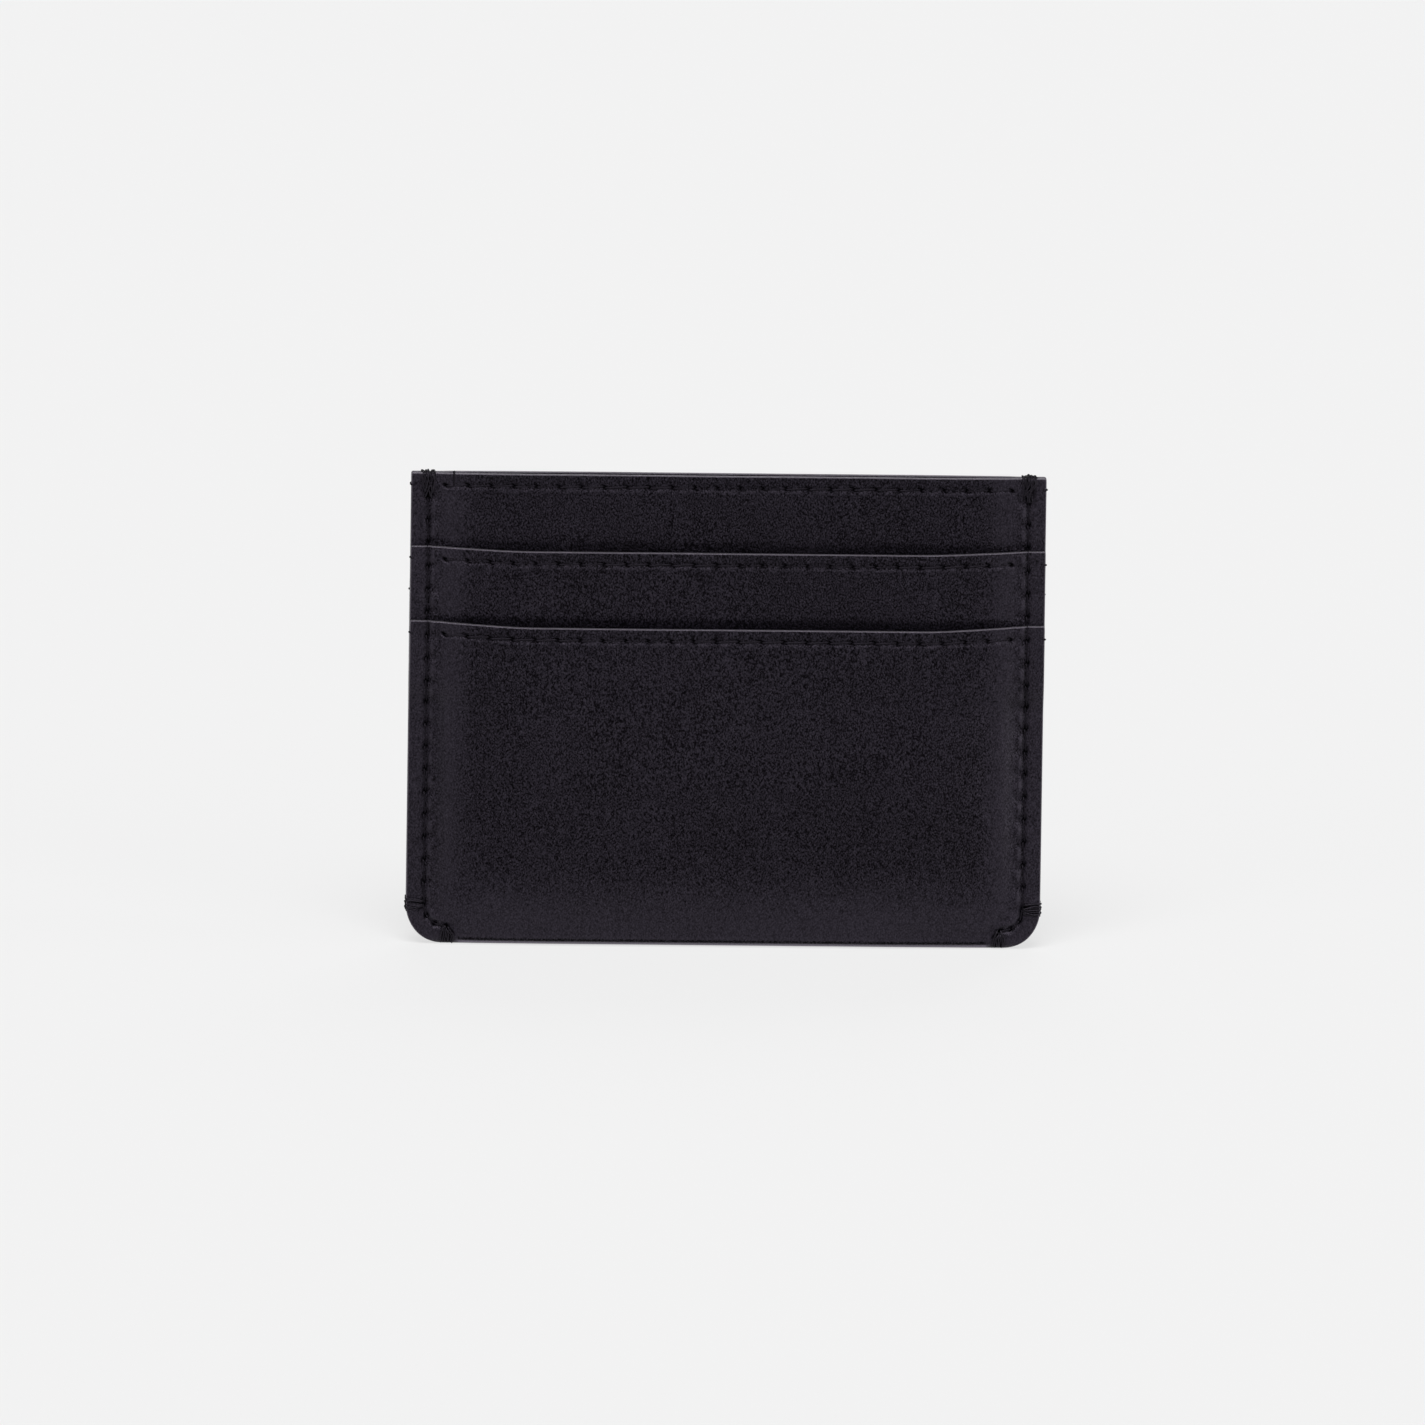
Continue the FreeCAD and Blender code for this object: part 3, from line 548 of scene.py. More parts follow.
def stitch(start, end, slant, place, rng, lift=ROW_LIFT, dive=HOLE_DIVE):
    """One stitch between two holes. Place gives a point of space for x, z and a height."""
    t = np.linspace(0, 1, 21)
    run = np.array(end, float) - np.array(start, float)
    lean = (t - 0.5) * 2 * rng.uniform(0.85, 1.15)
    x = start[0] + run[0] * t + slant[0] * lean
    z = start[1] + run[1] * t + slant[1] * lean
    ends = np.maximum(0, 1 - t / 0.13) ** 1.6 + np.maximum(0, 1 - (1 - t) / 0.13) ** 1.6
    height = lift + rng.uniform(-0.015, 0.015) - dive * ends
    path = np.stack([place(a, b, h) for a, b, h in zip(x, z, height)])
    return twisted_tube(path, THREAD, rng.uniform(0, 2 * math.pi))


def placer(side, offset, dip):
    """A function of x, z and height over a face that gives the point in space."""

    def place(x, z, height):
        x, z = np.float64(x), np.float64(z)
        return np.array([x, MIDDLE + side * (offset(x, z) + height), z + dip(x, z)])

    return place


def outer_shell(side):
    """Point over the outermost leather of a side, whichever panel shows at that level."""
    steps = [(LOWER_MOUTH, wrap_front), (UPPER_MOUTH, upper_face), (TOP + 1, body_face)]
    if side == BACK:
        steps = [(BACK_MOUTH, wrap_back), (TOP + 1, body_face)]

    def place(x, z, height):
        x, z = np.float64(x), np.float64(z)
        out = steps[0][1](x, z)
        for (top, _), (_, face) in zip(steps, steps[1:]):
            out = out + (face(x, z) - out) * smooth((z - top + 0.1) / 0.35)
        return np.array([x, MIDDLE + side * (out + height), z])

    return place


# ---------------------------------------------------------------- materials


def new_material(name):
    material = bpy.data.materials.new(name)
    material.use_nodes = True
    nodes, links = material.node_tree.nodes, material.node_tree.links
    shader = nodes["Principled BSDF"]
    return material, nodes, links, shader


def node(nodes, kind, **settings):
    """A shader node with its settings: sockets by name with _ for a space, others as attributes."""
    made = nodes.new(kind)
    for key, value in settings.items():
        socket = made.inputs.get(key.replace("_", " "))
        if socket is not None:
            socket.default_value = value
        else:
            setattr(made, key, value)
    return made


def texture(nodes, links, kind, vector, **settings):
    """A texture or mapping node that reads the vector."""
    made = node(nodes, kind, **settings)
    links.new(vector, made.inputs["Vector"])
    return made


def feed(links, socket, value):
    """Gives a socket a number, or the output of another node."""
    if isinstance(value, (int, float)):
        socket.default_value = value
    else:
        links.new(value, socket)


def arithmetic(nodes, links, operation, *values):
    made = node(nodes, "ShaderNodeMath", operation=operation)
    for socket, value in zip(made.inputs, values):
        feed(links, socket, value)
    return made.outputs[0]


def ramp(nodes, links, value, stops):
    """A colour ramp of (position, colour) stops."""
    made = nodes.new("ShaderNodeValToRGB")
    elements = made.color_ramp.elements
    for element, (position, colour) in zip(elements, stops):
        element.position = position
        element.color = (*colour, 1.0)
    links.new(value, made.inputs[0])
    return made.outputs[0]


def mix_number(nodes, links, factor, a, b):
    made = node(nodes, "ShaderNodeMix", data_type="FLOAT")
    links.new(factor, made.inputs[0])
    feed(links, made.inputs[2], a)
    feed(links, made.inputs[3], b)
    return made.outputs[0]


def mix_colour(nodes, links, factor, colour, target):
    """A colour output, moved towards a plain target colour by the factor."""
    made = node(nodes, "ShaderNodeMix", data_type="RGBA")
    links.new(factor, made.inputs[0])
    links.new(colour, made.inputs[6])
    made.inputs[7].default_value = (*target, 1.0)
    return made.outputs[2]


def mask(nodes, name):
    """One of the number attributes that the leather's meshes carry."""
    return node(nodes, "ShaderNodeAttribute", attribute_name=name).outputs["Fac"]


def add_bump(nodes, links, shader, height, strength, distance):
    bump = node(nodes, "ShaderNodeBump", Strength=strength, Distance=distance)
    links.new(height, bump.inputs["Height"])
    links.new(bump.outputs[0], shader.inputs["Normal"])


GRAIN_BUMP = 0.00009
GRAIN_STRENGTH = 0.9
GRAIN_LEAN = (0.0, math.radians(38), 0.0)
LEATHER_DARK = (0.0004, 0.0003, 0.0005)
LEATHER_LIGHT = (0.0078, 0.0066, 0.0100)
LEATHER_TINT = (0.89, 0.775, 1.0, 1.0)
LEATHER_SHINE = 0.168
# Painted shade: near black in the needle slits and under the bartacks.
HOLE_SHADE_COLOUR = (0.0008, 0.0007, 0.0009)
# Light grey edge paint, partly painted highlight along the mouth and side edge lines.
RIM_COLOUR = (0.070, 0.064, 0.075)
RIM_SHINE = 0.50


def leather_grain(nodes, links, spot, worn):
    """The grain's height: pebbles, swells, pores and slanting creases, calmer where the painted
    highlight mask is high.
    """
    bend = texture(nodes, links, "ShaderNodeTexNoise", spot, Scale=900.0, Detail=2.0)
    bent = node(nodes, "ShaderNodeVectorMath", operation="MULTIPLY_ADD")
    links.new(bend.outputs["Color"], bent.inputs[0])
    bent.inputs[1].default_value = (0.00012, 0.00012, 0.00012)
    links.new(spot, bent.inputs[2])
    leaning = texture(nodes, links, "ShaderNodeMapping", bent.outputs[0], Rotation=GRAIN_LEAN,
                      Scale=(1.0, 1.0, 0.72)).outputs[0]
    slanted = texture(nodes, links, "ShaderNodeMapping", bent.outputs[0], Rotation=GRAIN_LEAN,
                      Scale=(1.0, 1.0, 0.34)).outputs[0]
    pebble = texture(nodes, links, "ShaderNodeTexVoronoi", leaning, feature="DISTANCE_TO_EDGE",
                     Scale=2900.0).outputs["Distance"]
    swell = texture(nodes, links, "ShaderNodeTexNoise", leaning, Scale=4100.0, Detail=1.0).outputs[0]
    pores = texture(nodes, links, "ShaderNodeTexNoise", spot, Scale=6500.0, Detail=2.0,
                    Roughness=0.6).outputs[0]
    wrinkle = texture(nodes, links, "ShaderNodeTexNoise", slanted, Scale=620.0, Detail=4.0,
                      Roughness=0.62).outputs[0]

    crease = arithmetic(nodes, links, "SUBTRACT", wrinkle, 0.5)
    crease = arithmetic(nodes, links, "ABSOLUTE", crease)
    flat_top = arithmetic(nodes, links, "MULTIPLY", pebble, 4.5)
    flat_top = arithmetic(nodes, links, "MINIMUM", flat_top, 1.0)
    height = arithmetic(nodes, links, "MULTIPLY_ADD", crease, 0.5, -1.52)
    for part, share in ((flat_top, 0.3), (swell, 1.8), (pores, 0.8)):
        height = arithmetic(nodes, links, "MULTIPLY_ADD", part, share, height)
    calm = arithmetic(nodes, links, "MULTIPLY_ADD", worn, -0.95, 1.0)
    calm = arithmetic(nodes, links, "MAXIMUM", calm, 0.3)
    calm = arithmetic(nodes, links, "MINIMUM", calm, 1.0)
    return arithmetic(nodes, links, "MULTIPLY", height, calm)


def leather_material(name, shift):
    """Black calf leather with slow patches and edge-painted cut edges. It carries painted light: painted
    shade in the needle holes and under the bartacks, painted highlight and shade from a mask, and a
    light grey edge that is partly painted highlight.
    """
    material, nodes, links, shader = new_material(name)
    place = node(nodes, "ShaderNodeTexCoord").outputs["Object"]
    spot = texture(nodes, links, "ShaderNodeMapping", place, Location=shift).outputs[0]
    patch = texture(nodes, links, "ShaderNodeTexNoise", spot, Scale=70.0, Detail=3.0).outputs[0]
    hole, rim, worn = mask(nodes, "hole"), mask(nodes, "rim"), mask(nodes, "worn")
    height = leather_grain(nodes, links, spot, worn)
    add_bump(nodes, links, shader, height, GRAIN_STRENGTH, GRAIN_BUMP)

    tone = arithmetic(nodes, links, "MULTIPLY_ADD", height, 1.1, 0.25)
    tone = arithmetic(nodes, links, "MULTIPLY_ADD", patch, 0.5, tone)
    # Painted light: the mask lightens the colour where it marks painted highlight and darkens it where
    # it marks painted shade.
    tone = arithmetic(nodes, links, "MULTIPLY_ADD", worn, 0.2, tone)
    colour = ramp(nodes, links, tone, [(0.2, LEATHER_DARK), (0.8, LEATHER_LIGHT)])
    # Painted shade in the needle slits and under the bartacks, from the hole mask.
    colour = mix_colour(nodes, links, hole, colour, HOLE_SHADE_COLOUR)
    # The rim's light grey: edge paint, and partly painted highlight.
    colour = mix_colour(nodes, links, rim, colour, RIM_COLOUR)
    links.new(colour, shader.inputs["Base Color"])

    rough = arithmetic(nodes, links, "MULTIPLY_ADD", patch, 0.08, 0.40)
    links.new(mix_number(nodes, links, rim, rough, 0.30), shader.inputs["Roughness"])
    polish = arithmetic(nodes, links, "MULTIPLY_ADD", height, 2.1 * LEATHER_SHINE, LEATHER_SHINE)
    # The same painted highlight mask also raises the specular level.
    sheen_gain = arithmetic(nodes, links, "MULTIPLY_ADD", worn, 1.3, 1.0)
    polish = arithmetic(nodes, links, "MULTIPLY", polish, sheen_gain)
    polish = arithmetic(nodes, links, "MAXIMUM", polish, 0.03)
    shine = mix_number(nodes, links, rim, polish, RIM_SHINE)
    shine = mix_number(nodes, links, hole, shine, 0.0)
    links.new(shine, shader.inputs["Specular IOR Level"])
    shader.inputs["Specular Tint"].default_value = LEATHER_TINT
    return material


def lining_material():
    """Closely woven black lining."""
    material, nodes, links, shader = new_material("woven_lining")
    place = node(nodes, "ShaderNodeTexCoord").outputs["Object"]
    warp = texture(nodes, links, "ShaderNodeTexWave", place, wave_type="BANDS", bands_direction="X",
                   Scale=900.0)
    weft = texture(nodes, links, "ShaderNodeTexWave", place, wave_type="BANDS", bands_direction="Z",
                   Scale=800.0)
    slub = texture(nodes, links, "ShaderNodeTexNoise", place, Scale=700.0, Detail=3.0)
    weave = arithmetic(nodes, links, "MULTIPLY", warp.outputs["Fac"], weft.outputs["Fac"])
    height = arithmetic(nodes, links, "ADD", weave, slub.outputs[0])
    add_bump(nodes, links, shader, height, 0.6, 0.00006)
    stops = [(0.2, (0.004, 0.004, 0.005)), (0.9, (0.013, 0.013, 0.015))]
    links.new(ramp(nodes, links, height, stops), shader.inputs["Base Color"])
    shader.inputs["Roughness"].default_value = 0.8
    shader.inputs["Specular IOR Level"].default_value = 0.2
    return material


def thread_material(name, base, shine):
    """Waxed black sewing thread, its fibres a little uneven in tone."""
    material, nodes, links, shader = new_material(name)
    place = node(nodes, "ShaderNodeTexCoord").outputs["Object"]
    fibre = texture(nodes, links, "ShaderNodeTexNoise", place, Scale=9000.0, Detail=2.0)
    tone = texture(nodes, links, "ShaderNodeTexNoise", place, Scale=500.0, Detail=2.0)
    add_bump(nodes, links, shader, fibre.outputs[0], 0.5, 0.00003)
    stops = [(0.3, tuple(c * 0.7 for c in base)), (0.75, tuple(c * 1.4 for c in base))]
    links.new(ramp(nodes, links, tone.outputs[0], stops), shader.inputs["Base Color"])
    shader.inputs["Roughness"].default_value = 0.5
    shader.inputs["Specular IOR Level"].default_value = shine
    shader.inputs["Specular Tint"].default_value = LEATHER_TINT
    return material


TABLE_GLOW = 0.656


def floor_material():
    """A pale, matt shooting table, lit from underneath so that shadows on it stay faint."""
    material, nodes, links, shader = new_material("pale_floor")
    place = node(nodes, "ShaderNodeTexCoord").outputs["Object"]
    mottle = texture(nodes, links, "ShaderNodeTexNoise", place, Scale=3.0, Detail=2.0)
    stops = [(0.3, (0.199, 0.199, 0.199)), (0.7, (0.201, 0.201, 0.201))]
    links.new(ramp(nodes, links, mottle.outputs[0], stops), shader.inputs["Base Color"])
    shader.inputs["Emission Color"].default_value = (1.0, 1.0, 1.0, 1.0)
    shader.inputs["Emission Strength"].default_value = TABLE_GLOW
    shader.inputs["Roughness"].default_value = 0.9
    shader.inputs["Specular IOR Level"].default_value = 0.0
    return material


WRAP_LEATHER = leather_material("wrap_leather", (0.0, 0.0, 0.0))
FACING_LEATHER = leather_material("facing_leather", (0.31, 0.17, 0.53))
LINING_CLOTH = lining_material()
SEWING_THREAD = thread_material("sewing_thread", (0.0034, 0.0029, 0.0041), 0.16)
BARTACK_THREAD = thread_material("bartack_thread", (0.0030, 0.0027, 0.0036), 0.30)


def dress(obj, material, slot_name, *nodes_replaced):
    """Gives a piece its material and place on the frame, and hides the CAD nodes that it replaces. The
    slot name is not used.
    """
    obj.data.materials.append(material)
    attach(obj, "root")
    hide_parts(*nodes_replaced)
    return obj


# ---------------------------------------------------------------- leather pieces

SEAM_Z_ALL = list(SEAM_Z) + [z for _, z in ARC_HOLES]


def marked(row, mouth, low, nook, nook_shade, seed):
    """The sewing marks of a panel: a function that gives its height, and one for its masks."""

    def height(x, z):
        return sewn(x, z, row, mouth, low)[0] + rumple(x, z, seed)

    def masks(x, z):
        # The hole mask is painted shade: in the needle slits and under the bartacks.
        hole = np.maximum(sewn(x, z, row, mouth, low)[1], bartack_shade(x, z))
        return {"hole": hole, "worn": painted_light(x, z, row, nook, nook_shade)}

    return height, masks


def make_panel(name, side, mouth, cover, nook_shade, offset, dip, seed):
    """A leather facing. The pocket in front hides it below the level cover, where its grid is coarse."""
    row, low, shown = mouth - ROW_DROP, FACING_LOW, cover - 3
    across = columns(list(ROW_X), 1.0, SIDE_RIM)
    hidden = np.arange(low + SIDE_RIM, shown, 2.0)
    seen = ladder(shown, mouth - LEATHER_RIM, [z for z in SEAM_Z if z > shown] + [row], 0.55)
    x, z = wall_layout(side, np.concatenate([hidden, seen]), across)
    height, masks = marked(row, mouth, shown - 1, cover, nook_shade, seed)
    face = wall_points(side, x, z, offset, dip, height)
    base = wall_points(side, x, z, offset, dip, rumpled(seed))
    panel = slab(f"{name}_leather", face, base, LEATHER, masks(x, z))
    return dress(panel, FACING_LEATHER, "facing_leather", name)


def fold_masks(fold):
    """Painted highlight all round the fold. Between the bartacks a line of painted shade runs along its
    front, over a line of painted highlight where the floor's reflection falls.
    """
    x, y, z = fold[..., 0], fold[..., 1], fold[..., 2]
    between = smooth((ARC_X - 1.6 - np.abs(x)) / 1.0) * (y < MIDDLE)
    # Painted shade along the fold's front.
    crease = 1.6 * bell(z, 0.92, 0.2) * between
    # Painted highlight: the floor's reflection along the bottom.
    lit_line = 8.0 * smooth((0.68 - z) / 0.2) * between
    return {"hole": bartack_shade(x, z), "worn": 0.7 + lit_line - crease}


def make_wrap():
    """The wrap, one sheet: down the front, round the fold and up the back."""
    across = columns(list(ROW_X), 1.0, SIDE_RIM)
    parts, bases, masks = [], [], []
    walls = [(FRONT, LOWER_MOUTH, wrap_front, lower_sag, FRONT_SEED)]
    walls.append((BACK, BACK_MOUTH, wrap_back, back_sag, BACK_SEED))
    for side, mouth, offset, dip, seed in walls:
        row = mouth - ROW_DROP
        holes = [z for z in SEAM_Z_ALL if z < mouth] + [row]
        x, z = wall_layout(side, ladder(FOLD_RISE, mouth - LEATHER_RIM, holes, 0.8), across)
        x = follow_outline(x, z)
        height, face_masks = marked(row, mouth, 0.0, NO_NOOK, 0.0, seed)
        parts.append(wall_points(side, x, z, offset, dip, height))
        bases.append(wall_points(side, x, z, offset, dip, rumpled(seed)))
        masks.append(face_masks(x, z))
    fold = fold_grid(
        across,
        0.0,
        lambda x, z: wrap_front(x, z) + rumple(x, z, FRONT_SEED),
        lambda x, z: wrap_back(x, z) + rumple(x, z, BACK_SEED),
        FOLD_RISE,
    )
    face = np.concatenate([parts[0], fold, parts[1]])
    base = np.concatenate([bases[0], fold, bases[1]])
    on_fold = fold_masks(fold)
    joined = {k: np.concatenate([masks[0][k], on_fold[k], masks[1][k]]) for k in on_fold}
    wrap = slab("outer_wrap_leather", face, base, LEATHER, joined)
    return dress(wrap, WRAP_LEATHER, "wrap_leather", "outer_wrap")


make_wrap()
make_panel("front_upper_pocket", FRONT, UPPER_MOUTH, LOWER_MOUTH, 0.5, upper_face, upper_sag, 21)
make_panel("front_body_panel", FRONT, TOP, UPPER_MOUTH, 0.32, body_face, no_sag, 31)
make_panel("back_body_panel", BACK, TOP, BACK_MOUTH, 0.45, body_face, no_sag, 32)


# ---------------------------------------------------------------- linings

LINING_INSET = 0.35  # cloth stops short of the leather's edges
LINING_DROP = 0.6
LINING_ACROSS = np.linspace(-HALF + LINING_INSET, HALF - LINING_INSET, 90)


def lining_walls(front_top, back_top, floor, front, back, rise, dips):
    """A folded lining's outer face as one grid."""
    parts = []
    for side, top, offset, dip in ((FRONT, front_top, front, dips[0]), (BACK, back_top, back, dips[1])):
        levels = np.linspace(floor + rise, top - LINING_DROP, 60)
        x, z = wall_layout(side, levels, LINING_ACROSS)
        parts.append(wall_points(side, follow_outline(x, z), z, offset, dip))
    fold = fold_grid(LINING_ACROSS, floor, front, back, rise, 12)
    return np.concatenate([parts[0], fold, parts[1]])


wrap_cloth = lining_walls(
    LOWER_MOUTH, BACK_MOUTH, WRAP_PLY, under(wrap_front, WRAP_PLY), under(wrap_back, WRAP_PLY), 1.0,
    (lower_sag, back_sag),
)
wrap_lining = slab("outer_wrap_lining_cloth", wrap_cloth, wrap_cloth, LINING)
dress(wrap_lining, LINING_CLOTH, "lining_fabric", "outer_wrap_lining")

centre_cloth = lining_walls(
    TOP, TOP, float(CENTRE_LOW[2]), centre_face, centre_face, 0.35, (no_sag, no_sag)
)
centre_lining = slab("centre_pocket_lining_cloth", centre_cloth, centre_cloth, LINING)
dress(centre_lining, LINING_CLOTH, "lining_fabric", "centre_pocket_lining")

tail_levels = np.linspace(float(TAIL_LOW[2]), float(TAIL_HIGH[2]), 60)
tail_cloth = wall_points(FRONT, *wall_layout(FRONT, tail_levels, LINING_ACROSS), tail_face, upper_sag)
tail = slab("front_upper_pocket_tail_cloth", tail_cloth, tail_cloth, LINING)
dress(tail, LINING_CLOTH, "lining_fabric", "front_upper_pocket_tail")


# ---------------------------------------------------------------- stitches

SLANT = 0.12  # a stitch runs from one end of a slit to the other end of the next


def end_loop(face, x, row):
    """The thread's last turn: out of a hole, over the top edge and down into the pocket."""
    knots = [(row, -0.3), (row + 0.5, -0.04), (TOP - 0.15, 0.03), (TOP + 0.13, -0.2), (TOP + 0.13, -0.7),
             (TOP - 0.3, -1.05)]
    return twisted_tube(spline([face(x, z, height) for z, height in knots], 40), THREAD)


def row_stitches(name, side, row, outer, inner, dip, seed, ends=True):
    """A mouth row: thread over the leather and behind the cloth, and its tails at the side edges."""
    rng = np.random.default_rng(seed)
    faces = [placer(side, outer, dip), placer(side, inner, dip)]
    tubes = []
    for place, lift, dive in ((faces[0], ROW_LIFT, HOLE_DIVE), (faces[1], -THREAD, -0.2)):
        for xa, xb in zip(ROW_X, ROW_X[1:]):
            tubes.append(stitch((xa, row), (xb, row), (0.0, SLANT), place, rng, lift, dive))
    if ends:
        for edge in (-1, 1):
            lean = rng.uniform(-0.25, 0.25)
            knots = [(HALF - 0.7, -0.25, 0), (HALF - 0.35, -0.04, 0.4), (HALF - 0.05, -0.14, 0.8),
                     (HALF + 0.02, -0.45, 1), (HALF - 0.4, -0.8, 1)]
            path = [faces[0](edge * x, row + lean * share, h) for x, h, share in knots]
            tubes.append(twisted_tube(spline(path, 22), THREAD * 0.9, rng.uniform(0, 6)))
    if name == "front_top_stitches":
        tubes.append(end_loop(faces[0], 1.3 - ROW_HALF, row))
    return dress(join_tubes(f"{name}_thread", tubes), SEWING_THREAD, "sewing_thread", name)


wrap_inner = under(wrap_front, LEATHER + LINING_PLY)
wrap_back_inner = under(wrap_back, LEATHER + LINING_PLY)
body_inner = under(centre_face, LINING)
row_stitches("front_top_stitches", FRONT, TOP - ROW_DROP, body_face, body_inner, no_sag, 41)
row_stitches("front_upper_stitches", FRONT, UPPER_MOUTH - ROW_DROP, upper_face,
             under(upper_face, LEATHER + LINING_PLY), upper_sag, 42)
row_stitches("front_lower_stitches", FRONT, LOWER_MOUTH - ROW_DROP, wrap_front, wrap_inner,
             lower_sag, 43)
row_stitches("back_top_stitches", BACK, TOP - ROW_DROP, body_face, body_inner, no_sag, 44)
row_stitches("back_pocket_stitches", BACK, BACK_MOUTH - ROW_DROP, wrap_back, wrap_back_inner,
             back_sag, 45)
TAIL_ROW = level_of("pocket_tail_stitches")
row_stitches("pocket_tail_stitches", FRONT, TAIL_ROW, tail_face, body_inner, no_sag, 46, ends=False)


def seam_stitches(word, edge, seed):
    """A side seam on both faces, from the top hole down to the corner."""
    rng = np.random.default_rng(seed)
    tubes = []
    for side in (FRONT, BACK):
        place = outer_shell(side)
        for low, high in zip(SEAM_Z, SEAM_Z[1:]):
            ends = (edge * SEAM, high), (edge * SEAM, low)
            tubes.append(stitch(*ends, (SLANT, 0.0), place, rng, SEAM_LIFT))
    name = f"{word}_seam_stitches"
    return dress(join_tubes(f"{name}_thread", tubes), SEWING_THREAD, "sewing_thread", name)


def corner_stitches(word, edge, seed):
    """The short stitches that turn the corner."""
    rng = np.random.default_rng(seed)
    places = [(SEAM, CORNER)] + ARC_HOLES
    tubes = []
    for side in (FRONT, BACK):
        place = outer_shell(side)
        for (xa, za), (xb, zb) in zip(places, places[1:]):
            tubes.append(stitch((edge * xa, za), (edge * xb, zb), (0.05, 0.0), place, rng, CORNER_LIFT))
    name = f"{word}_corner_stitches"
    return dress(join_tubes(f"{name}_thread", tubes), SEWING_THREAD, "sewing_thread", name)


def wobbled(path, rng, amount=0.14):
    """The path with its inner points moved a little in x and z, as hand-finished loops lie. The
    thread stays above the floor."""
    path = np.array(path, float)
    path[1:-1, 0] += rng.uniform(-amount, amount, len(path) - 2)
    path[1:-1, 2] += rng.uniform(-amount, amount, len(path) - 2)
    path[:, 2] = np.maximum(path[:, 2], 1.4 * TACK_THREAD)
    return path


def bartack(name, paths, rng):
    """Back stitches that lie over each other, one tube for each path."""
    tubes = [twisted_tube(spline(wobbled(p, rng), 70), TACK_THREAD, rng.uniform(0, 6)) for p in paths]
    return dress(join_tubes(f"{name}_thread", tubes), BARTACK_THREAD, "bartack_thread", name)


def top_bartack(word, edge, seed):
    """Back stitches over the top edge: a crowd of loops that cross each other in three layers."""
    rng = np.random.default_rng(seed)
    front, back = outer_shell(FRONT), outer_shell(BACK)
    paths = []
    for k, shift in enumerate(rng.permutation(np.linspace(-1.05, 1.05, 11))):
        x = edge * (SEAM + shift)
        low = edge * (SEAM + rng.uniform(-0.6, 0.6))
        dip = TOP - 2.6 - rng.uniform(0, 1.6)
        lift = -0.04 + 0.13 * (k % 3)
        crown = TOP + 0.02 + 0.10 * (k % 3)
        paths.append([
            front(low, dip, TACK_DIVE), front(low, dip + 0.4, lift), front(x, TOP - 1.0, lift),
            front(x, TOP - 0.25, lift), (x, MIDDLE - 0.7, crown), (x, MIDDLE, crown - 0.05),
            (x, MIDDLE + 0.7, crown), back(x, TOP - 0.25, lift), back(x, TOP - 1.0, lift),
            back(low, dip + 0.4, lift), back(low, dip, TACK_DIVE),
        ])
    return bartack(f"{word}_top_bartack", paths, rng)


def side_bartack(word, edge, seed):
    """Loops from the seam round the side edge, above the corner."""
    rng = np.random.default_rng(seed)
    front, back = outer_shell(FRONT), outer_shell(BACK)
    paths = []
    for k, shift in enumerate(rng.permutation(np.linspace(-0.9, 0.9, 7))):
        near = CORNER + shift * 0.6 + rng.uniform(-0.2, 0.2)
        far = CORNER + shift
        rim = float(outline(far))
        lift = -0.04 + 0.10 * (k % 3)
        path = [front(edge * SEAM, near, TACK_DIVE), front(edge * (SEAM + 0.4), near, lift)]
        path += [front(edge * (rim - 1.0), far, lift), front(edge * (rim - 0.15), far, lift - 0.1)]
        path += [(edge * (rim + 0.03), MIDDLE + y, far) for y in (-0.9, 0.0, 0.8)]
        path += [back(edge * (rim - 0.15), far, lift - 0.1), back(edge * (rim - 1.0), far, lift)]
        path += [back(edge * (SEAM + 0.4), near, lift), back(edge * SEAM, near, TACK_DIVE)]
        paths.append(path)
    return bartack(f"{word}_side_bartack", paths, rng)


def fold_bartack(word, edge, seed):
    """Loops from the seam's end down round the fold, spread like a fan."""
    rng = np.random.default_rng(seed)
    front, back = outer_shell(FRONT), outer_shell(BACK)
    paths = []
    for k, shift in enumerate(rng.permutation(np.linspace(-0.9, 0.9, 7))):
        near = edge * (ARC_X + shift * 0.45)
        far = edge * (ARC_X + shift - 0.25)
        top = SEAM_INSET + rng.uniform(-0.2, 0.35)
        lift = 0.04 + 0.12 * (k % 3)
        path = [front(near, top, TACK_DIVE), front(near, top - 0.35, lift), front(far, 1.6, lift)]
        path += [(far, MIDDLE - 1.4, 0.50), (far, MIDDLE - 0.6, 0.17), (far, MIDDLE + 0.6, 0.17)]
        path += [(far, MIDDLE + 1.3, 0.50), back(far, 1.6, lift)]
        path += [back(near, top - 0.35, lift), back(near, top, TACK_DIVE)]
        paths.append(path)
    return bartack(f"{word}_fold_bartack", paths, rng)


for word, edge, seed in (("left", -1, 50), ("right", 1, 60)):
    seam_stitches(word, edge, seed)
    corner_stitches(word, edge, seed + 1)
    top_bartack(word, edge, seed + 2)
    side_bartack(word, edge, seed + 3)
    fold_bartack(word, edge, seed + 4)


# ---------------------------------------------------------------- floor, light and camera


def make_floor():
    size = 12.0
    mesh = bpy.data.meshes.new("floor")
    corners = [(-size, -size, 0), (size, -size, 0), (size, size, 0), (-size, size, 0)]
    mesh.from_pydata(corners, [], [(0, 1, 2, 3)])
    floor = bpy.data.objects.new("floor", mesh)
    bpy.context.scene.collection.objects.link(floor)
    mesh.materials.append(floor_material())


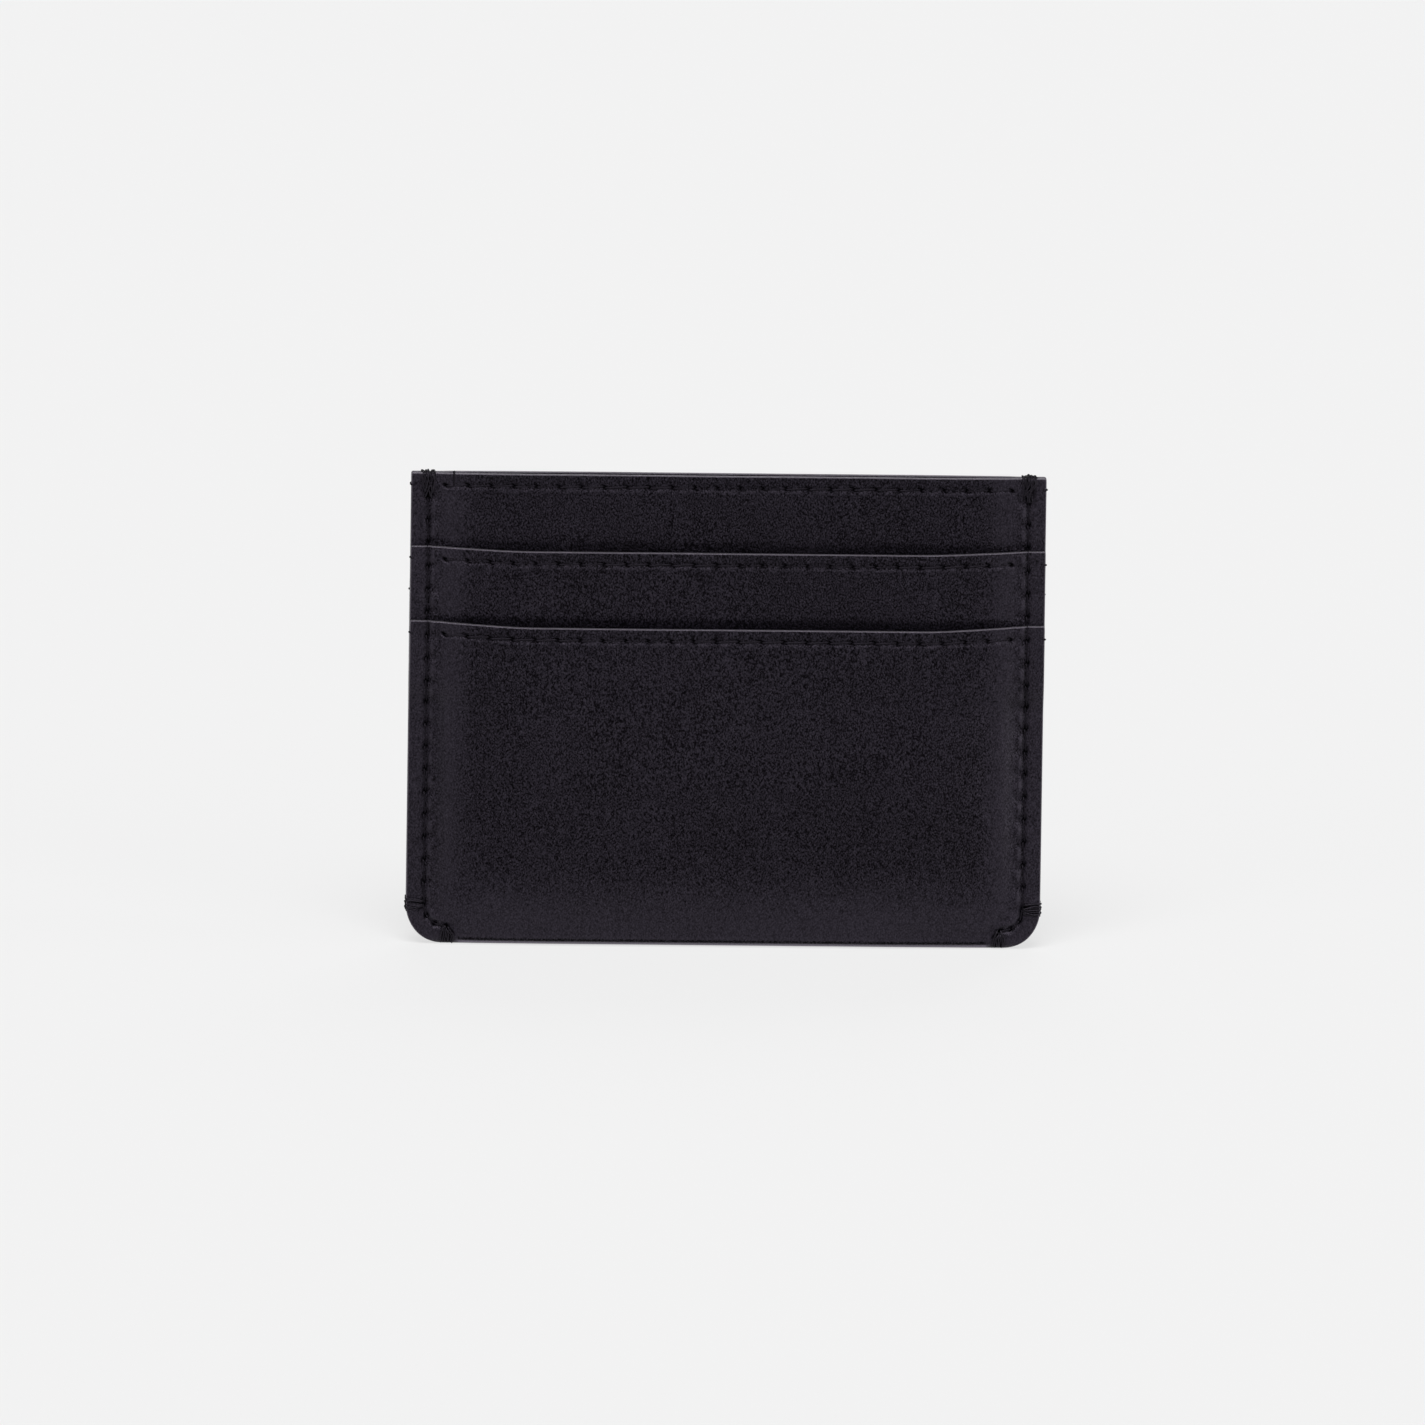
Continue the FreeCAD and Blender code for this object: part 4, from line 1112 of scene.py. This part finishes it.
def make_sun(name, azimuth, elevation, spread, strength):
    """Soft light from a wide part of the sky, the same all over the floor."""
    lamp = bpy.data.lights.new(name, "SUN")
    lamp.energy = strength
    lamp.angle = math.radians(spread)
    obj = bpy.data.objects.new(name, lamp)
    a, e = math.radians(azimuth), math.radians(elevation)
    toward = Vector((math.sin(a) * math.cos(e), -math.cos(a) * math.cos(e), math.sin(e)))
    obj.rotation_mode = "QUATERNION"
    obj.rotation_quaternion = toward.to_track_quat("Z", "Y")
    bpy.context.scene.collection.objects.link(obj)


def make_sky(strength):
    world = bpy.data.worlds.new("studio")
    world.use_nodes = True
    world.node_tree.nodes["Background"].inputs["Color"].default_value = (0.97, 0.98, 1.0, 1.0)
    world.node_tree.nodes["Background"].inputs["Strength"].default_value = strength
    bpy.context.scene.world = world


def make_camera():
    """A long lens, a little above and a hair to the left, turned by half a degree."""
    azimuth, elevation, roll = math.radians(-1.5), math.radians(10.0), math.radians(0.82)
    distance = 7.0
    leather_share = 0.4457  # of the picture's width
    back = Vector((math.sin(azimuth) * math.cos(elevation), -math.cos(azimuth) * math.cos(elevation),
                   math.sin(elevation)))
    level_right = Vector((0, 0, 1)).cross(back).normalized()
    level_up = back.cross(level_right)
    right = level_right * math.cos(roll) + level_up * math.sin(roll)
    up = back.cross(right)
    low, high = (Vector(corner) for corner in cad_box)
    aim = (low + high) / 2 - level_right * 2.12 * MM - level_up * 0.46 * MM
    lens = bpy.data.cameras.new("camera")
    lens.sensor_width = 36.0
    shown = 2 * HALF * MM / leather_share
    lens.lens = lens.sensor_width * distance / shown
    lens.clip_end = 50.0
    camera = bpy.data.objects.new("camera", lens)
    turn = Matrix((right, up, back)).transposed().to_4x4()
    camera.matrix_world = Matrix.Translation(aim + back * distance) @ turn
    bpy.context.scene.collection.objects.link(camera)
    bpy.context.scene.camera = camera


make_floor()
make_sun("key_softbox", -5, 57, 38, 2.91)
make_sun("left_softbox", -38, 20, 30, 0.28)
make_sun("right_softbox", 42, 20, 30, 0.45)
make_sun("back_softbox", 172, 40, 40, 0.70)
make_sun("edge_softbox", 84, 10, 24, 0.9)
make_sky(0.12)
bpy.context.scene.view_settings.view_transform = "Standard"
make_camera()
